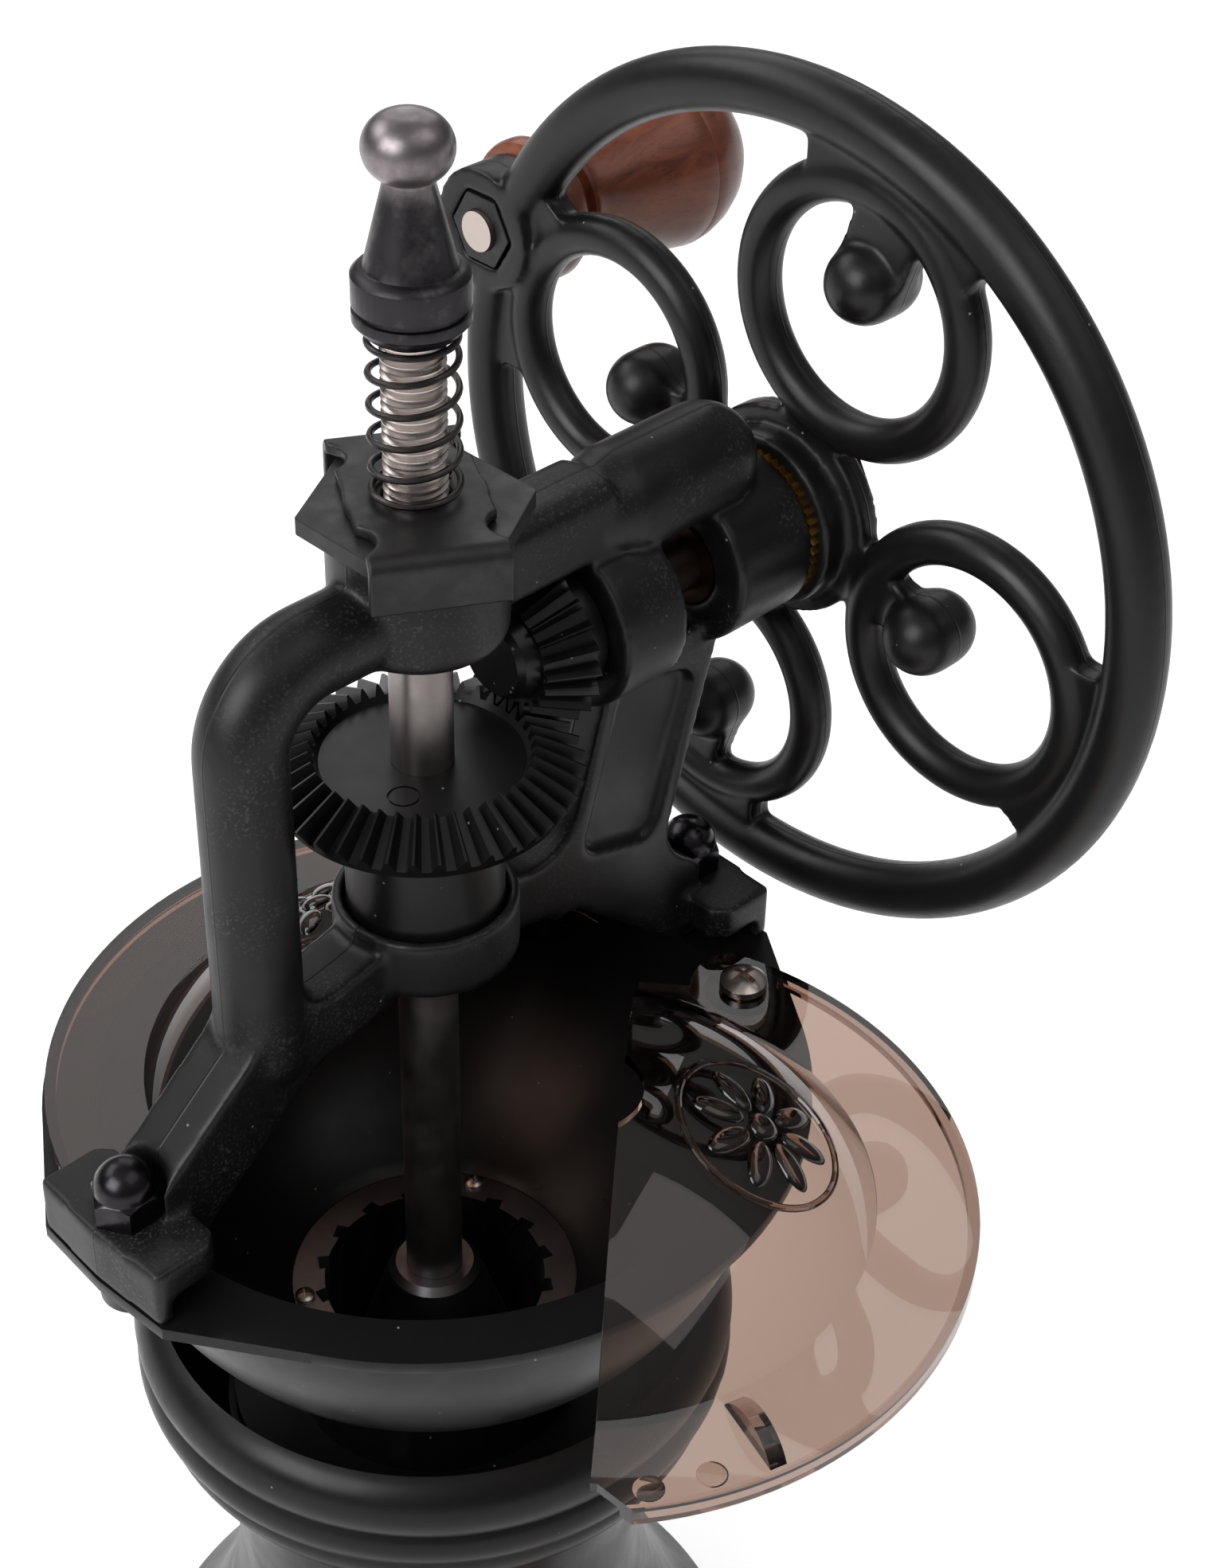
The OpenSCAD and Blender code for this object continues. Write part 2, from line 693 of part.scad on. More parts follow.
module yoke_web() {
    rotate([90, 0, 0]) linear_extrude(2 * web_half, center = true) {
        intersection() {
            union() {
                yoke_leg();
                pillar_plan();
                mirror([1, 0]) yoke_leg();
                mirror([1, 0]) column_plan();
            }
            translate([-2 * foot_x, 0]) square([4 * foot_x, 2 * foot_x]);
        }
    }
}

module pillar_panel() {
    mid = (knee.y + pillar_top) / 2 - 1;
    for (side = [-1, 1])
        translate([pillar_at(mid).x, side * (web_half + 3.4), mid]) rotate([0, pillar_tilt, 0])
            rotate([90, 0, 0]) linear_extrude(10, center = true) rounded_rect(pillar_w - 6.5, 26, 3);
}

// Foot block with chamfered inner corners and a ledge that the covers' corners tuck under
module foot_block() {
    inner = foot_x - foot_len / 2;
    ledge_x = foot_x + 2.4;
    difference() {
        linear_extrude(foot_h) foot_plan(foot_w / 2, foot_x + foot_len / 2, foot_nose);
        for (side = [0, 1]) mirror([0, side, 0]) {
            translate([inner, foot_w / 2, foot_h / 2]) rotate(45) cube([3, 3, 2 * foot_h], center = true);
            translate([inner - 1, cover_edge - pass_gap, -1])
                cube([ledge_x - inner + 1, foot_w, cover_rim_h + cover_z + pass_gap + 1]);
        }
    }
}

module frame() {
    nut_room = cap_nut_af / 2 / cos(30) + 0.6;
    color(black) on_flange() difference() {
        union() {
            yoke_web();
            translate([-column_x, 0, arm_z - elbow_r]) mirror([0, 0, 1])
                rotate_extrude() round_end(column_r, column_r, 0, arm_z - elbow_r - knee.y);
            translate([elbow_r - column_x, 0, arm_z - elbow_r]) rotate([90, 0, 0])
                rotate([0, 0, 90]) rotate_extrude(angle = 90) translate([elbow_r, 0]) circle(column_r);
            along_x(elbow_r - column_x, arm_z) cylinder(h = column_x - elbow_r, r = column_r);
            translate([0, 0, collar_z]) collar_body();
            translate([0, 0, ring_boss_z]) cylinder(h = ring_boss_h, r = ring_boss_r);
            arm_head();
            for (side = [0, 180]) rotate(side) foot_block();
        }
        pillar_panel();
        for (side = [0, 180]) rotate(side) {
            translate([foot_x, 0, foot_h]) cylinder(h = foot_h + 4, r = nut_room);
            translate([foot_x, 0, -1]) cylinder(h = foot_h + 2, d = foot_bolt_d);
        }
        translate([0, 0, ring_boss_z - 1]) cylinder(h = ring_boss_h + 2, r = bush_r);
        translate([0, 0, ring_boss_top - hub_sink]) cylinder(h = hub_sink + 1, r = gear_hub_r + pass_gap);
        translate([0, 0, collar_z - 1]) cylinder(h = collar_len + 2, r = bush_r);
        along_x(bearing_in_x - 1, axle_h) cylinder(h = bearing_out_end - bearing_in_x + 2, r = bush_r);
        translate([bearing_in_end, -2 * head_r, pillar_top + eps])
            cube([bearing_out_x - bearing_in_end, 4 * head_r, axle_h + bearing_r - 3 - pillar_top]);
    }
}

module collar_body() {
    soft = 2;
    rotate_extrude() {
        translate([0, soft]) square([collar_r, collar_len - soft]);
        square([collar_r - soft, collar_len]);
        translate([collar_r - soft, soft]) circle(soft);
    }
}

// Half outline of a bar along +Y: flared at its start and round at its end
module round_end(start_r, r, flare, len) {
    polygon([[0, 0], [start_r, 0], [r, flare], [r, len], [0, len]]);
    translate([0, len]) intersection() {
        circle(r);
        square(r);
    }
}

module arm_head() {
    step_x = bearing_in_x + 2;
    end_x = bearing_out_end - 3 - head_r;
    difference() {
        along_x(0, arm_z) linear_extrude(step_x + 2) rounded_rect(11, 13, 3);
        along_x(0, axle_h) cylinder(h = bearing_in_x, r = pinion_r + addendum + pass_gap);
    }
    along_x(step_x, head_z) rotate_extrude() round_end(5.6, head_r, 6, end_x - step_x);
    translate([step_x, -web_half, axle_h]) cube([end_x + web_half - step_x, 2 * web_half, head_z - axle_h]);
    along_x(bearing_in_x, axle_h) cylinder(h = bearing_in_len, r = bearing_r + 0.4);
    along_x(bearing_out_x, axle_h) cylinder(h = bearing_out_len, r = bearing_r);
}

module frame_studs() {
    color(dark_steel) on_flange() for (side = [0, 180]) rotate(side)
        translate([foot_x, 0, -flange_t - boss_drop])
            cylinder(h = flange_t + boss_drop + foot_h + 5.5, d = foot_bolt_d);
}

module cap_nuts() {
    nut_r = cap_nut_af / 2;
    color(dark_steel) on_flange() for (side = [0, 180]) rotate(side)
        translate([foot_x, 0, foot_h]) difference() {
            union() {
                intersection() {
                    cylinder(h = 4, d = cap_nut_af / cos(30), $fn = 6);
                    translate([0, 0, -1.1]) sphere(nut_r * 1.6);
                }
                translate([0, 0, 3.4]) cylinder(h = 0.8, r = nut_r - 0.3);
                translate([0, 0, 4.2]) sphere(nut_r - 0.1);
            }
            translate([0, 0, -nut_r - 1]) cylinder(h = nut_r + 1, r = nut_r + 2);
            translate([0, 0, -eps]) cylinder(h = 5.7, d = foot_bolt_d);
        }
}

module sleeve(len, bore_d) {
    difference() {
        cylinder(h = len, r = bush_r);
        translate([0, 0, -1]) cylinder(h = len + 2, d = bore_d + 2 * run_fit);
    }
}

module shaft_bushes() {
    color(bronze) on_flange() {
        translate([0, 0, ring_boss_z]) sleeve(ring_boss_h - 2.4, shaft_d);
        translate([0, 0, collar_z]) sleeve(collar_len, shaft_d);
    }
}

module axle_bushes() {
    color(bronze) on_flange() {
        along_x(bearing_in_x, axle_h) sleeve(bearing_in_len, axle_d);
        along_x(bearing_out_x, axle_h) sleeve(bearing_out_len, axle_d);
    }
}

module cover_screws() {
    color(steel) on_flange() for (y = [-1, 1])
        translate([pivot.x, y * pivot.y, cover_z + cover_rim_h + slide_gap])
            pan_screw(pivot_d - 0.01, cover_z + cover_rim_h + flange_t + 4, pivot_head_r, 2.2);
}

// Main shaft and what turns with it
module main_shaft() {
    color(steel) on_flange()
        flatted_rod(shaft_d, shaft_foot, thread_top, ring_boss_top - hub_sink, cap_z - eps);
}

module drive_gear() {
    pitch_z = axle_h - pinion_r;
    disc_z = axle_h - pinion_r * taper - 1.6;
    hub_z = ring_boss_top - hub_sink + slide_gap;
    rim_back = pitch_z - (dedendum + gear_rim) * gear_r / cone_len;
    color(black) on_flange() difference() {
        union() {
            translate([0, 0, axle_h]) bevel_teeth(gear_teeth, gear_r, pinion_r, 0);
            rotate_extrude() polygon([[0, hub_z], [gear_hub_r, hub_z], [gear_hub_r, rim_back - 2],
                [gear_r - 2.4, rim_back + 0.4], [gear_r - 1.6, pitch_z - 1.9],
                [gear_r * taper - 0.3, disc_z], [0, disc_z]]);
        }
        flatted_bore(shaft_d, hub_z - 1, disc_z + 1, run_fit / 2);
        translate([-7, -4.4, disc_z - 0.3]) difference() {
            cylinder(h = 1, r = 2.1);
            translate([0, 0, -1]) cylinder(h = 3, r = 1.8);
        }
    }
}

module hex_plate() {
    color(black) on_flange() translate([0, 0, hex_z]) difference() {
        rotate(30) cylinder(h = hex_t, d = hex_af / cos(30), $fn = 6);
        translate([0, 0, -1]) cylinder(h = hex_t + 2, d = shaft_d);
    }
}

// Spring: one wire wound round the shaft, with straight ends square to the clip and the cap
wire_r = spring_wire / 2;
spring_gap = 0.05;
spring_from = clip_top + spring_gap;
spring_to = cap_z;
curl_rings = 8;
helix_from = spring_from + 2.2 * spring_wire;
helix_to = spring_to - 2.2 * spring_wire;
lead_turn = 14;
spring_steps = spring_turns * curl_rings;

function coil_point(turn, z) = [spring_d / 2 * cos(turn), spring_d / 2 * sin(turn), z];
spring_path = concat(
    [coil_point(0, spring_from), coil_point(0, spring_from + spring_wire),
        coil_point(lead_turn / 2, spring_from + 1.7 * spring_wire)],
    [for (i = [0 : spring_steps]) coil_point(
        lead_turn + i * (360 * spring_turns - 2 * lead_turn) / spring_steps,
        helix_from + (helix_to - helix_from) * i / spring_steps)],
    [coil_point(360 * spring_turns - lead_turn / 2, spring_to - 1.7 * spring_wire),
        coil_point(0, spring_to - spring_wire), coil_point(0, spring_to)]);

function unit(v) = v / norm(v);
function heading(path, i) =
    i <= 1 ? [0, 0, 1] : i >= len(path) - 2 ? [0, 0, 1] : unit(path[i + 1] - path[i - 1]);
function wire_ring(path, i, sides) =
    let (along = heading(path, i), out = unit([path[i].x, path[i].y, 0]),
        out2 = unit(out - along * (out * along)), side = cross(along, out2))
    [for (k = [0 : sides - 1])
        path[i] + wire_r * (out2 * cos(k * 360 / sides) + side * sin(k * 360 / sides))];

module wire(path, sides) {
    last = len(path) - 1;
    points = [for (i = [0 : last]) each wire_ring(path, i, sides)];
    walls = [for (i = [0 : last - 1], k = [0 : sides - 1])
        let (a = i * sides + k, b = i * sides + (k + 1) % sides, c = a + sides, d = b + sides)
        each [[a, c, b], [b, c, d]]];
    ends = [for (k = [1 : sides - 2]) each
        [[0, k, k + 1], [last * sides, last * sides + k + 1, last * sides + k]]];
    polyhedron(points, concat(walls, ends));
}

// Least gap of the wire to itself, between points more than half a curl apart
spring_self_gap = min([
    for (i = [0 : len(spring_path) - 1], j = [i + curl_rings / 2 : 1 : len(spring_path) - 1])
    norm(spring_path[i] - spring_path[j])]) - spring_wire;
echo(spring_self_gap = spring_self_gap);

module clip_spring() {
    color(dark_steel) on_flange() wire(spring_path, 6);
}

// Cap: ring with a groove, cone and flattened ball
module spring_cap() {
    ring_r = cap_ring_d / 2;
    cone_r = ring_r - 1.4;
    neck_rad = cap_ball_d * 0.283;
    ball_rad = cap_ball_d / 2;
    flat_rad = ball_rad / 4;
    color(dark_steel) on_flange() difference() {
        union() {
            rotate_extrude() polygon([[0, cap_z], [cone_r, cap_z], [ring_r, cap_z + 1.6],
                [ring_r, cap_z + 2.8], [ring_r - 0.5, cap_z + 2.9], [ring_r - 0.5, cap_z + 3.5],
                [ring_r, cap_z + 3.6], [ring_r, cone_z - 0.9], [ring_r - 0.6, cone_z - 0.3],
                [cone_r, cone_z], [neck_rad, neck_z + 0.4], [neck_rad, ball_z], [0, ball_z]]);
            translate([0, 0, ball_z]) rotate_extrude() intersection() {
                union() {
                    translate([flat_rad, 0]) circle(ball_rad - flat_rad);
                    translate([0, flat_rad - ball_rad]) square([flat_rad, 2 * (ball_rad - flat_rad)]);
                }
                translate([0, -ball_rad]) square([ball_rad, 2 * ball_rad]);
            }
        }
        translate([0, 0, cap_z - 1]) cylinder(h = thread_top - cap_z + 1 + eps, d = shaft_d);
    }
}

// Lock clip: bent sheet with two tabs over opposite flats of the hexagon plate
clip_turn = 240;
bend_r = 2;
rear_reach = 1.6;
waist_in = 8.8;
tab_in = hex_af / 2 + slide_gap;

module clip_plan() {
    half_len = tab_in + clip_t - bend_r;
    difference() {
        union() {
            circle(8.6);
            translate([-half_len - rear_reach, -clip_w / 2]) square([2 * half_len + rear_reach, clip_w]);
        }
        for (x = [-waist_in - rear_reach, waist_in], y = [-1, 1])
            translate([x, y * (clip_w / 2 + 1.6)]) circle(3.4);
    }
}

module clip_tab() {
    top_x = tab_in + clip_t - bend_r;
    translate([top_x, clip_w / 2, clip_top - bend_r]) rotate([90, 0, 0])
        rotate_extrude(angle = 90) translate([bend_r - clip_t, 0]) square([clip_t, clip_w]);
    translate([tab_in, -clip_w / 2, clip_top - tab_drop]) cube([clip_t, clip_w, tab_drop - bend_r]);
}

module lock_clip() {
    color(black) on_flange() difference() {
        rotate(clip_turn) {
            translate([0, 0, clip_z]) linear_extrude(clip_t) clip_plan();
            clip_tab_placed();
            rotate(180) translate([rear_reach, 0, 0]) clip_tab_placed();
        }
        flatted_bore(shaft_d, clip_z - 1, clip_top + 1, run_fit);
    }
}

module clip_tab_placed() {
    intersection() {
        union() {
            clip_tab();
        }
        translate([0, -clip_w, clip_top - tab_drop - 1]) cube([hex_af, 2 * clip_w, tab_drop + 2]);
    }
}

// Crank wheel, drawn flat and then stood up on the axle
module rim_web() {
    half = 16;
    linear_extrude(4.4, center = true) difference() {
        intersection() {
            circle(rim_r);
            polygon([[0, 0], [rim_r * 1.2, -rim_r * 1.2 * tan(half)],
                [rim_r * 1.2, rim_r * 1.2 * tan(half)]]);
        }
        translate([scroll_at, 0]) circle(scroll_r);
        circle(scroll_at);
    }
}

module ball_end(at) {
    translate([at, 0, 0]) {
        for (side = [-1, 1]) translate([0, 0, side * 1.4]) sphere(ball_r);
        cylinder(h = 2.8, r = ball_r, center = true);
    }
}

module scroll(rim_side) {
    ball_at = rim_side ? scroll_at + 5.3 : scroll_at - 7.1;
    tab_from = rim_side ? ball_at : hub_r - 1;
    tab_to = rim_side ? scroll_at + scroll_r : ball_at;
    translate([scroll_at, 0, 0]) rotate_extrude() translate([scroll_r, 0]) circle(scroll_tube);
    rim_web();
    translate([(tab_from + tab_to) / 2, 0, 0])
        cube([tab_to - tab_from, rim_side ? 10.6 : 7.4, 4], center = true);
    ball_end(ball_at);
}

hub_web_t = 3.6;

module crank_wheel() {
    color(black) on_flange() difference() {
        union() {
            along_x(wheel_x, axle_h) {
                rotate_extrude() translate([rim_r, 0]) circle(rim_tube);
                for (i = [0 : 3]) rotate(scroll_turn + 90 * i) scroll(i % 2 == 1);
                cylinder(h = hub_web_t, r = scroll_at - scroll_r - 2, center = true);
                rotate(lug_turn) translate([lug_at, 0, 0]) cylinder(h = lug_t, r = lug_r, center = true);
            }
            along_x(hub_x, axle_h) cylinder(h = hub_len, r = hub_r);
        }
        along_x(hub_x - 1, axle_h) flatted_bore(axle_d, 0, hub_len + 2, 0.01);
        on_lug(lug_x - 1) cylinder(h = lug_t + 2, d = knob_bolt_d);
        on_lug(lug_x - 1) cylinder(h = knob_nut_h + 1, d = (knob_nut_af + 2 * slide_gap) / cos(30), $fn = 6);
    }
}

module wheel_axle() {
    color(steel) on_flange() along_x(0, axle_h) difference() {
        translate([0, 0, pinion_nose + 3]) cylinder(h = axle_end - pinion_nose - 3, d = axle_d);
        translate([-axle_d, axle_d / 2 - flat_cut, hub_x - 0.5]) cube([2 * axle_d, axle_d, hub_len + 0.5]);
        translate([-axle_d, axle_d / 2 - flat_cut, 0]) cube([2 * axle_d, axle_d, pinion_back]);
    }
}

module pinion() {
    pitch_x = gear_r;
    rim_back = pitch_x - (dedendum + gear_rim) * pinion_r / cone_len;
    inner_r = pinion_r * taper - 1.2;
    color(black) on_flange() difference() {
        union() {
            along_x(0, axle_h) mirror([0, 0, 1])
                bevel_teeth(pinion_teeth, pinion_r, gear_r, -90 + 180 / pinion_teeth);
            along_x(0, axle_h) rotate_extrude() polygon([[0, pinion_nose], [inner_r - 1.6, pinion_nose],
                [inner_r - 0.8, pinion_nose + 0.8], [inner_r, gear_r * taper + 1],
                [pinion_r - 2.4, pitch_x + 0.4], [pinion_r - 2.4, pinion_back], [0, pinion_back]]);
        }
        along_x(pinion_nose + 3, axle_h) flatted_bore(axle_d, 0, pinion_back, 0.01);
    }
}

module thrust_ring() {
    teeth = 48;
    outer = bearing_r - 0.5;
    color(brass) on_flange() along_x(bearing_out_end + slide_gap, axle_h)
        linear_extrude(thrust_t) difference() {
            polygon([for (i = [0 : 2 * teeth - 1])
                (outer - (i % 2) * 0.6) * [cos(i * 180 / teeth), sin(i * 180 / teeth)]]);
            circle(axle_d / 2 + 0.01);
        }
}

module wheel_washer() {
    color(steel) on_flange() along_x(hub_end, axle_h) difference() {
        cylinder(h = washer_t, r = axle_d);
        translate([0, 0, -1]) cylinder(h = washer_t + 2, d = axle_d);
    }
}

module wheel_nut() {
    color(steel) on_flange() along_x(hub_end + washer_t, axle_h) hex_nut(13, nut_h, axle_d);
}

// Crank knob on its bolt
knob_recess = 6;
knob_nut_h = 4;
knob_nut_af = 10;
bolt_tail = 0.8;

module on_lug(x) {
    translate([x, lug_pos.x, lug_pos.y]) rotate([90, 0, 90]) children();
}

module knob_bolt() {
    end_x = knob_x + knob_len - knob_recess + slide_gap;
    color(steel) on_flange() on_lug(lug_x - bolt_tail) {
        cylinder(h = end_x - lug_x + bolt_tail, d = knob_bolt_d);
        translate([0, 0, end_x - lug_x + bolt_tail - eps]) knob_bolt_head();
    }
}

module knob_bolt_head() {
    difference() {
        intersection() {
            cylinder(h = 3, r = 4.6);
            translate([0, 0, -4]) sphere(7.2);
        }
        translate([-5, -0.5, 1.6]) cube([10, 1, 3]);
    }
}

module knob_nut() {
    color(steel) on_flange() on_lug(lug_x) hex_nut(knob_nut_af, knob_nut_h, knob_bolt_d);
}

module crank_knob() {
    bulb = knob_d / 2;
    bulb_at = knob_len - bulb * 0.93;
    color(wood) on_flange() on_lug(knob_x) difference() {
        rotate_extrude() difference() {
            union() {
                square([knob_flange_d / 2 - 1, 4]);
                translate([0, 1]) square([knob_flange_d / 2, 2]);
                for (z = [1, 3]) translate([knob_flange_d / 2 - 1, z]) circle(1);
                polygon([[0, 0], [knob_neck_d / 2, 3.5], [knob_neck_d / 2, 7],
                    [bulb * 0.86, bulb_at - bulb * 0.5],
                    [0, bulb_at]]);
                intersection() {
                    translate([0, bulb_at]) circle(bulb);
                    translate([0, bulb_at - bulb]) square([bulb, knob_len - bulb_at + bulb]);
                }
            }
            translate([-2 * knob_d, -knob_d]) square([2 * knob_d, 4 * knob_d]);
        }
        translate([0, 0, -1]) cylinder(h = knob_len + 2, d = knob_bolt_d + 2 * run_fit);
        translate([0, 0, knob_len - knob_recess]) cylinder(h = knob_recess + 1, r = 5.2);
    }
}

// Half covers: rimmed annulus with a dome, a straight edge, a notch and a grip
module cover_shell() {
    rise = dome_top - cover_rim_h;
    rotate_extrude() difference() {
        union() {
            translate([dome_r - 1, cover_rim_h - cover_t]) square([cover_r - dome_r + 1, cover_t]);
            translate([cover_r - cover_t, 0]) square([cover_t, cover_rim_h]);
            dome_outline(0, rise);
        }
        dome_outline(cover_t, rise);
        translate([-cover_r, -1]) square([cover_r, dome_top + 2]);
    }
}

// Outline of the dome as a circle arc through its foot and its crown
module dome_outline(inset, rise) {
    arc_r = (pow(dome_r, 2) + pow(rise, 2)) / (2 * rise);
    intersection() {
        translate([0, cover_rim_h + rise - arc_r]) circle(arc_r - inset);
        translate([0, cover_rim_h - cover_t - eps - inset]) square([dome_r, rise + cover_t + inset + 1]);
    }
}

module half_cover(with_grip) {
    difference() {
        union() {
            cover_shell();
            translate([pivot.x, -pivot.y, 0]) cylinder(h = cover_rim_h, r = lug_round - 2);
            if (with_grip) grip();
        }
        translate([-2 * cover_r, -cover_edge, -1]) cube([4 * cover_r, 2 * cover_r, dome_top + 5]);
        translate([0, 0, dome_top / 2]) cylinder(h = dome_top, r = notch_r);
        translate([0, 0, -1]) linear_extrude(dome_top) polygon([[-cover_r + 4.4, -cover_edge - 0.8],
            [-cover_r + 0.9, -cover_edge - 5.2], [-cover_r - 3, -cover_edge - 5.2], [-cover_r - 3, 0],
            [-cover_r + 4.4, 0]]);
        translate([pivot.x, -pivot.y, -1]) linear_extrude(dome_top) difference() {
            translate([-0.5, -3]) square(40);
            circle(lug_round);
        }
        translate([pivot.x, -pivot.y, -1]) cylinder(h = dome_top, d = pivot_d + 2 * run_fit);
    }
}

module grip() {
    rotate(212) translate([45, 0, cover_rim_h]) rotate([90, 0, 0])
        intersection() {
            translate([0, -3, 0]) cylinder(h = 2.2, r = 6.2, center = true);
            translate([-10, -0.4, -5]) cube([20, 10, 10]);
        }
}

module swung(turn) {
    translate([pivot.x, -pivot.y, 0]) rotate(turn) translate([-pivot.x, pivot.y, 0]) children();
}

module front_cover() {
    color(smoke) on_flange() translate([0, 0, cover_z]) swung(open_turn) half_cover(true);
}

module rear_cover() {
    color(smoke) on_flange() translate([0, 0, cover_z]) mirror([0, 1, 0]) half_cover(false);
}

// Drawer: tray, front in the bell's shape and its knob
drawer_screw_d = 4;

module drawer_tray() {
    color(black) difference() {
        translate([-tray_w / 2, -front_back_y, tray_z]) cube([tray_w, tray_back_y + front_back_y, tray_h]);
        translate([-tray_w / 2 + tray_wall, -front_back_y + tray_wall, tray_z + tray_wall])
            cube([tray_w - 2 * tray_wall, tray_back_y + front_back_y - 2 * tray_wall, tray_h]);
        translate([0, -front_back_y - 1, drawer_knob_z]) rotate([-90, 0, 0])
            cylinder(h = tray_wall + 2, d = drawer_screw_d);
    }
}

module drawer_front() {
    color(black) difference() {
        intersection() {
            rotate_extrude($fn = 160) bell_side(tray_z, tray_z + front_h);
            translate([-front_w / 2, -3 * waist_r, tray_z])
                cube([front_w, 3 * waist_r - front_back_y, front_h]);
        }
        translate([0, -knob_seat_y, drawer_knob_z]) rotate([90, 0, 0])
            cylinder(h = waist_r, d = drawer_knob_d * 0.8);
        translate([0, -front_back_y + 1, drawer_knob_z]) rotate([90, 0, 0])
            cylinder(h = 2 * waist_r, d = drawer_screw_d);
    }
}

module drawer_knob() {
    ball = drawer_knob_d / 2;
    ball_at = 5 + ball * 0.8;
    color(wood) translate([0, -knob_seat_y, drawer_knob_z]) rotate([90, 0, 0]) difference() {
        rotate_extrude() intersection() {
            union() {
                square([ball * 0.72, 2.4]);
                square([ball * 0.5, ball_at]);
                translate([0, ball_at]) circle(ball);
            }
            square([ball, ball_at + ball * 0.93]);
        }
        translate([0, 0, -1]) cylinder(h = 9, d = drawer_screw_d);
    }
}

module drawer_screw() {
    color(steel) translate([0, -front_back_y + tray_wall, drawer_knob_z]) rotate([-90, 0, 0])
        pan_screw(drawer_screw_d, tray_wall + knob_seat_y - front_back_y + 7, 3.8, 2.4);
}

base();
base_plate();
plate_screws();
base_pad();
hopper();
hopper_screws();
ring_burr();
burr_screws();
frame();
frame_studs();
cap_nuts();
shaft_bushes();
axle_bushes();
cover_screws();
main_shaft();
drive_gear();
cone_burr();
burr_nut();
hex_plate();
clip_spring();
spring_cap();
lock_clip();
crank_wheel();
wheel_axle();
pinion();
thrust_ring();
wheel_washer();
wheel_nut();
knob_bolt();
knob_nut();
crank_knob();
front_cover();
rear_cover();
drawer_tray();
drawer_front();
drawer_knob();
drawer_screw();
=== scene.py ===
"""Dresses the hand coffee grinder: finishes, fine forms, studio light and camera."""

from __future__ import annotations

import json
import logging
import math
from dataclasses import dataclass, field
from enum import Enum
from typing import Any, Iterable, Optional, Sequence

import bmesh
import bpy
from mathutils import Matrix, Vector

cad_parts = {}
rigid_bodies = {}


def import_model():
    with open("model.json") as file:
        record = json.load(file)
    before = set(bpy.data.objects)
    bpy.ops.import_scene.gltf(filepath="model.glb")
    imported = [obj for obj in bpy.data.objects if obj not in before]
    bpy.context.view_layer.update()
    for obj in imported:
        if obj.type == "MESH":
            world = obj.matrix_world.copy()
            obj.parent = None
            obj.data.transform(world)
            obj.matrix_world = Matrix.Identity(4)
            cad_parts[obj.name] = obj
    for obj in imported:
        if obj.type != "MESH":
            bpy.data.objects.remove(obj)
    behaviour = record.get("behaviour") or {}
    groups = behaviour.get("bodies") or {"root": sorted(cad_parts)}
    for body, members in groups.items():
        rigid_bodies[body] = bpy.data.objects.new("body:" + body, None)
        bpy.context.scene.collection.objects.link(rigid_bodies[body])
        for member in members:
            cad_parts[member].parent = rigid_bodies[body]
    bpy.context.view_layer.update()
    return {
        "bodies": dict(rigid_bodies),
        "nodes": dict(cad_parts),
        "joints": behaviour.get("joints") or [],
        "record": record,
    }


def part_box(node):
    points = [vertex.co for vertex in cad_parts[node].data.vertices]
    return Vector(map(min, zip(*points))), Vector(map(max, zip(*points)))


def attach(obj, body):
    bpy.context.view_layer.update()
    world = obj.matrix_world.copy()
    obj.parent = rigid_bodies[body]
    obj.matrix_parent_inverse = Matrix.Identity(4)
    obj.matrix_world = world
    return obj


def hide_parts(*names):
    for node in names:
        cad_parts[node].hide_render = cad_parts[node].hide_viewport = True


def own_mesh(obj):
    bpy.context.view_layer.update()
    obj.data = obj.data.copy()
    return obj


LOG = logging.getLogger("grinder")
MM = 0.001
# Corners nearer than this, in metres, are one corner
SAME_PLACE = 1e-7
WHITE = "#ffffff"


class Axis(Enum):
    """Axis of the object that a texture runs round or across."""

    X = "X"
    Y = "Y"
    Z = "Z"


class Slot(Enum):
    """Material slots of the record, by name."""

    STEEL = "steel"
    BLACKENED_STEEL = "blackened_steel"
    WOOD = "wood"
    SMOKED_CLEAR = "smoked_clear"


def linear(code: str) -> tuple[float, float, float, float]:
    """Turns an sRGB hex colour into linear light.

    Args:
        code: six hex digits with a leading hash.

    Returns:
        Red, green, blue and an alpha of 1.
    """
    parts = [int(code[i:i + 2], 16) / 255 for i in (1, 3, 5)]
    lin = [c / 12.92 if c <= 0.04045 else ((c + 0.055) / 1.055) ** 2.4 for c in parts]
    return (lin[0], lin[1], lin[2], 1.0)


def put(tree: bpy.types.NodeTree, kind: str, sockets: Optional[dict[str, Any]] = None,
        **settings: Any) -> bpy.types.Node:
    """Adds a node with its settings and links.

    Args:
        tree: the node tree.
        kind: the node's type name.
        sockets: input name to a value, or to an output socket to link.
        settings: properties of the node.

    Returns:
        The new node.
    """
    node = tree.nodes.new(kind)
    for key, value in settings.items():
        setattr(node, key, value)
    for key, value in (sockets or {}).items():
        socket = node.inputs[key]
        if isinstance(value, bpy.types.NodeSocket):
            tree.links.new(value, socket)
        else:
            socket.default_value = value
    return node


def per_metre(size_mm: float) -> float:
    """Texture scale of a pattern whose features are size_mm apart."""
    return 1.0 / (size_mm * MM)


def axis_scale(axis: Axis, on_it: float, across: float) -> tuple[float, ...]:
    """Scale of a pattern that is stretched along or across one axis.

    Args:
        axis: the axis.
        on_it: scale along the axis.
        across: scale along the other two.

    Returns:
        The three scales.
    """
    return tuple(on_it if other is axis else across for other in Axis)


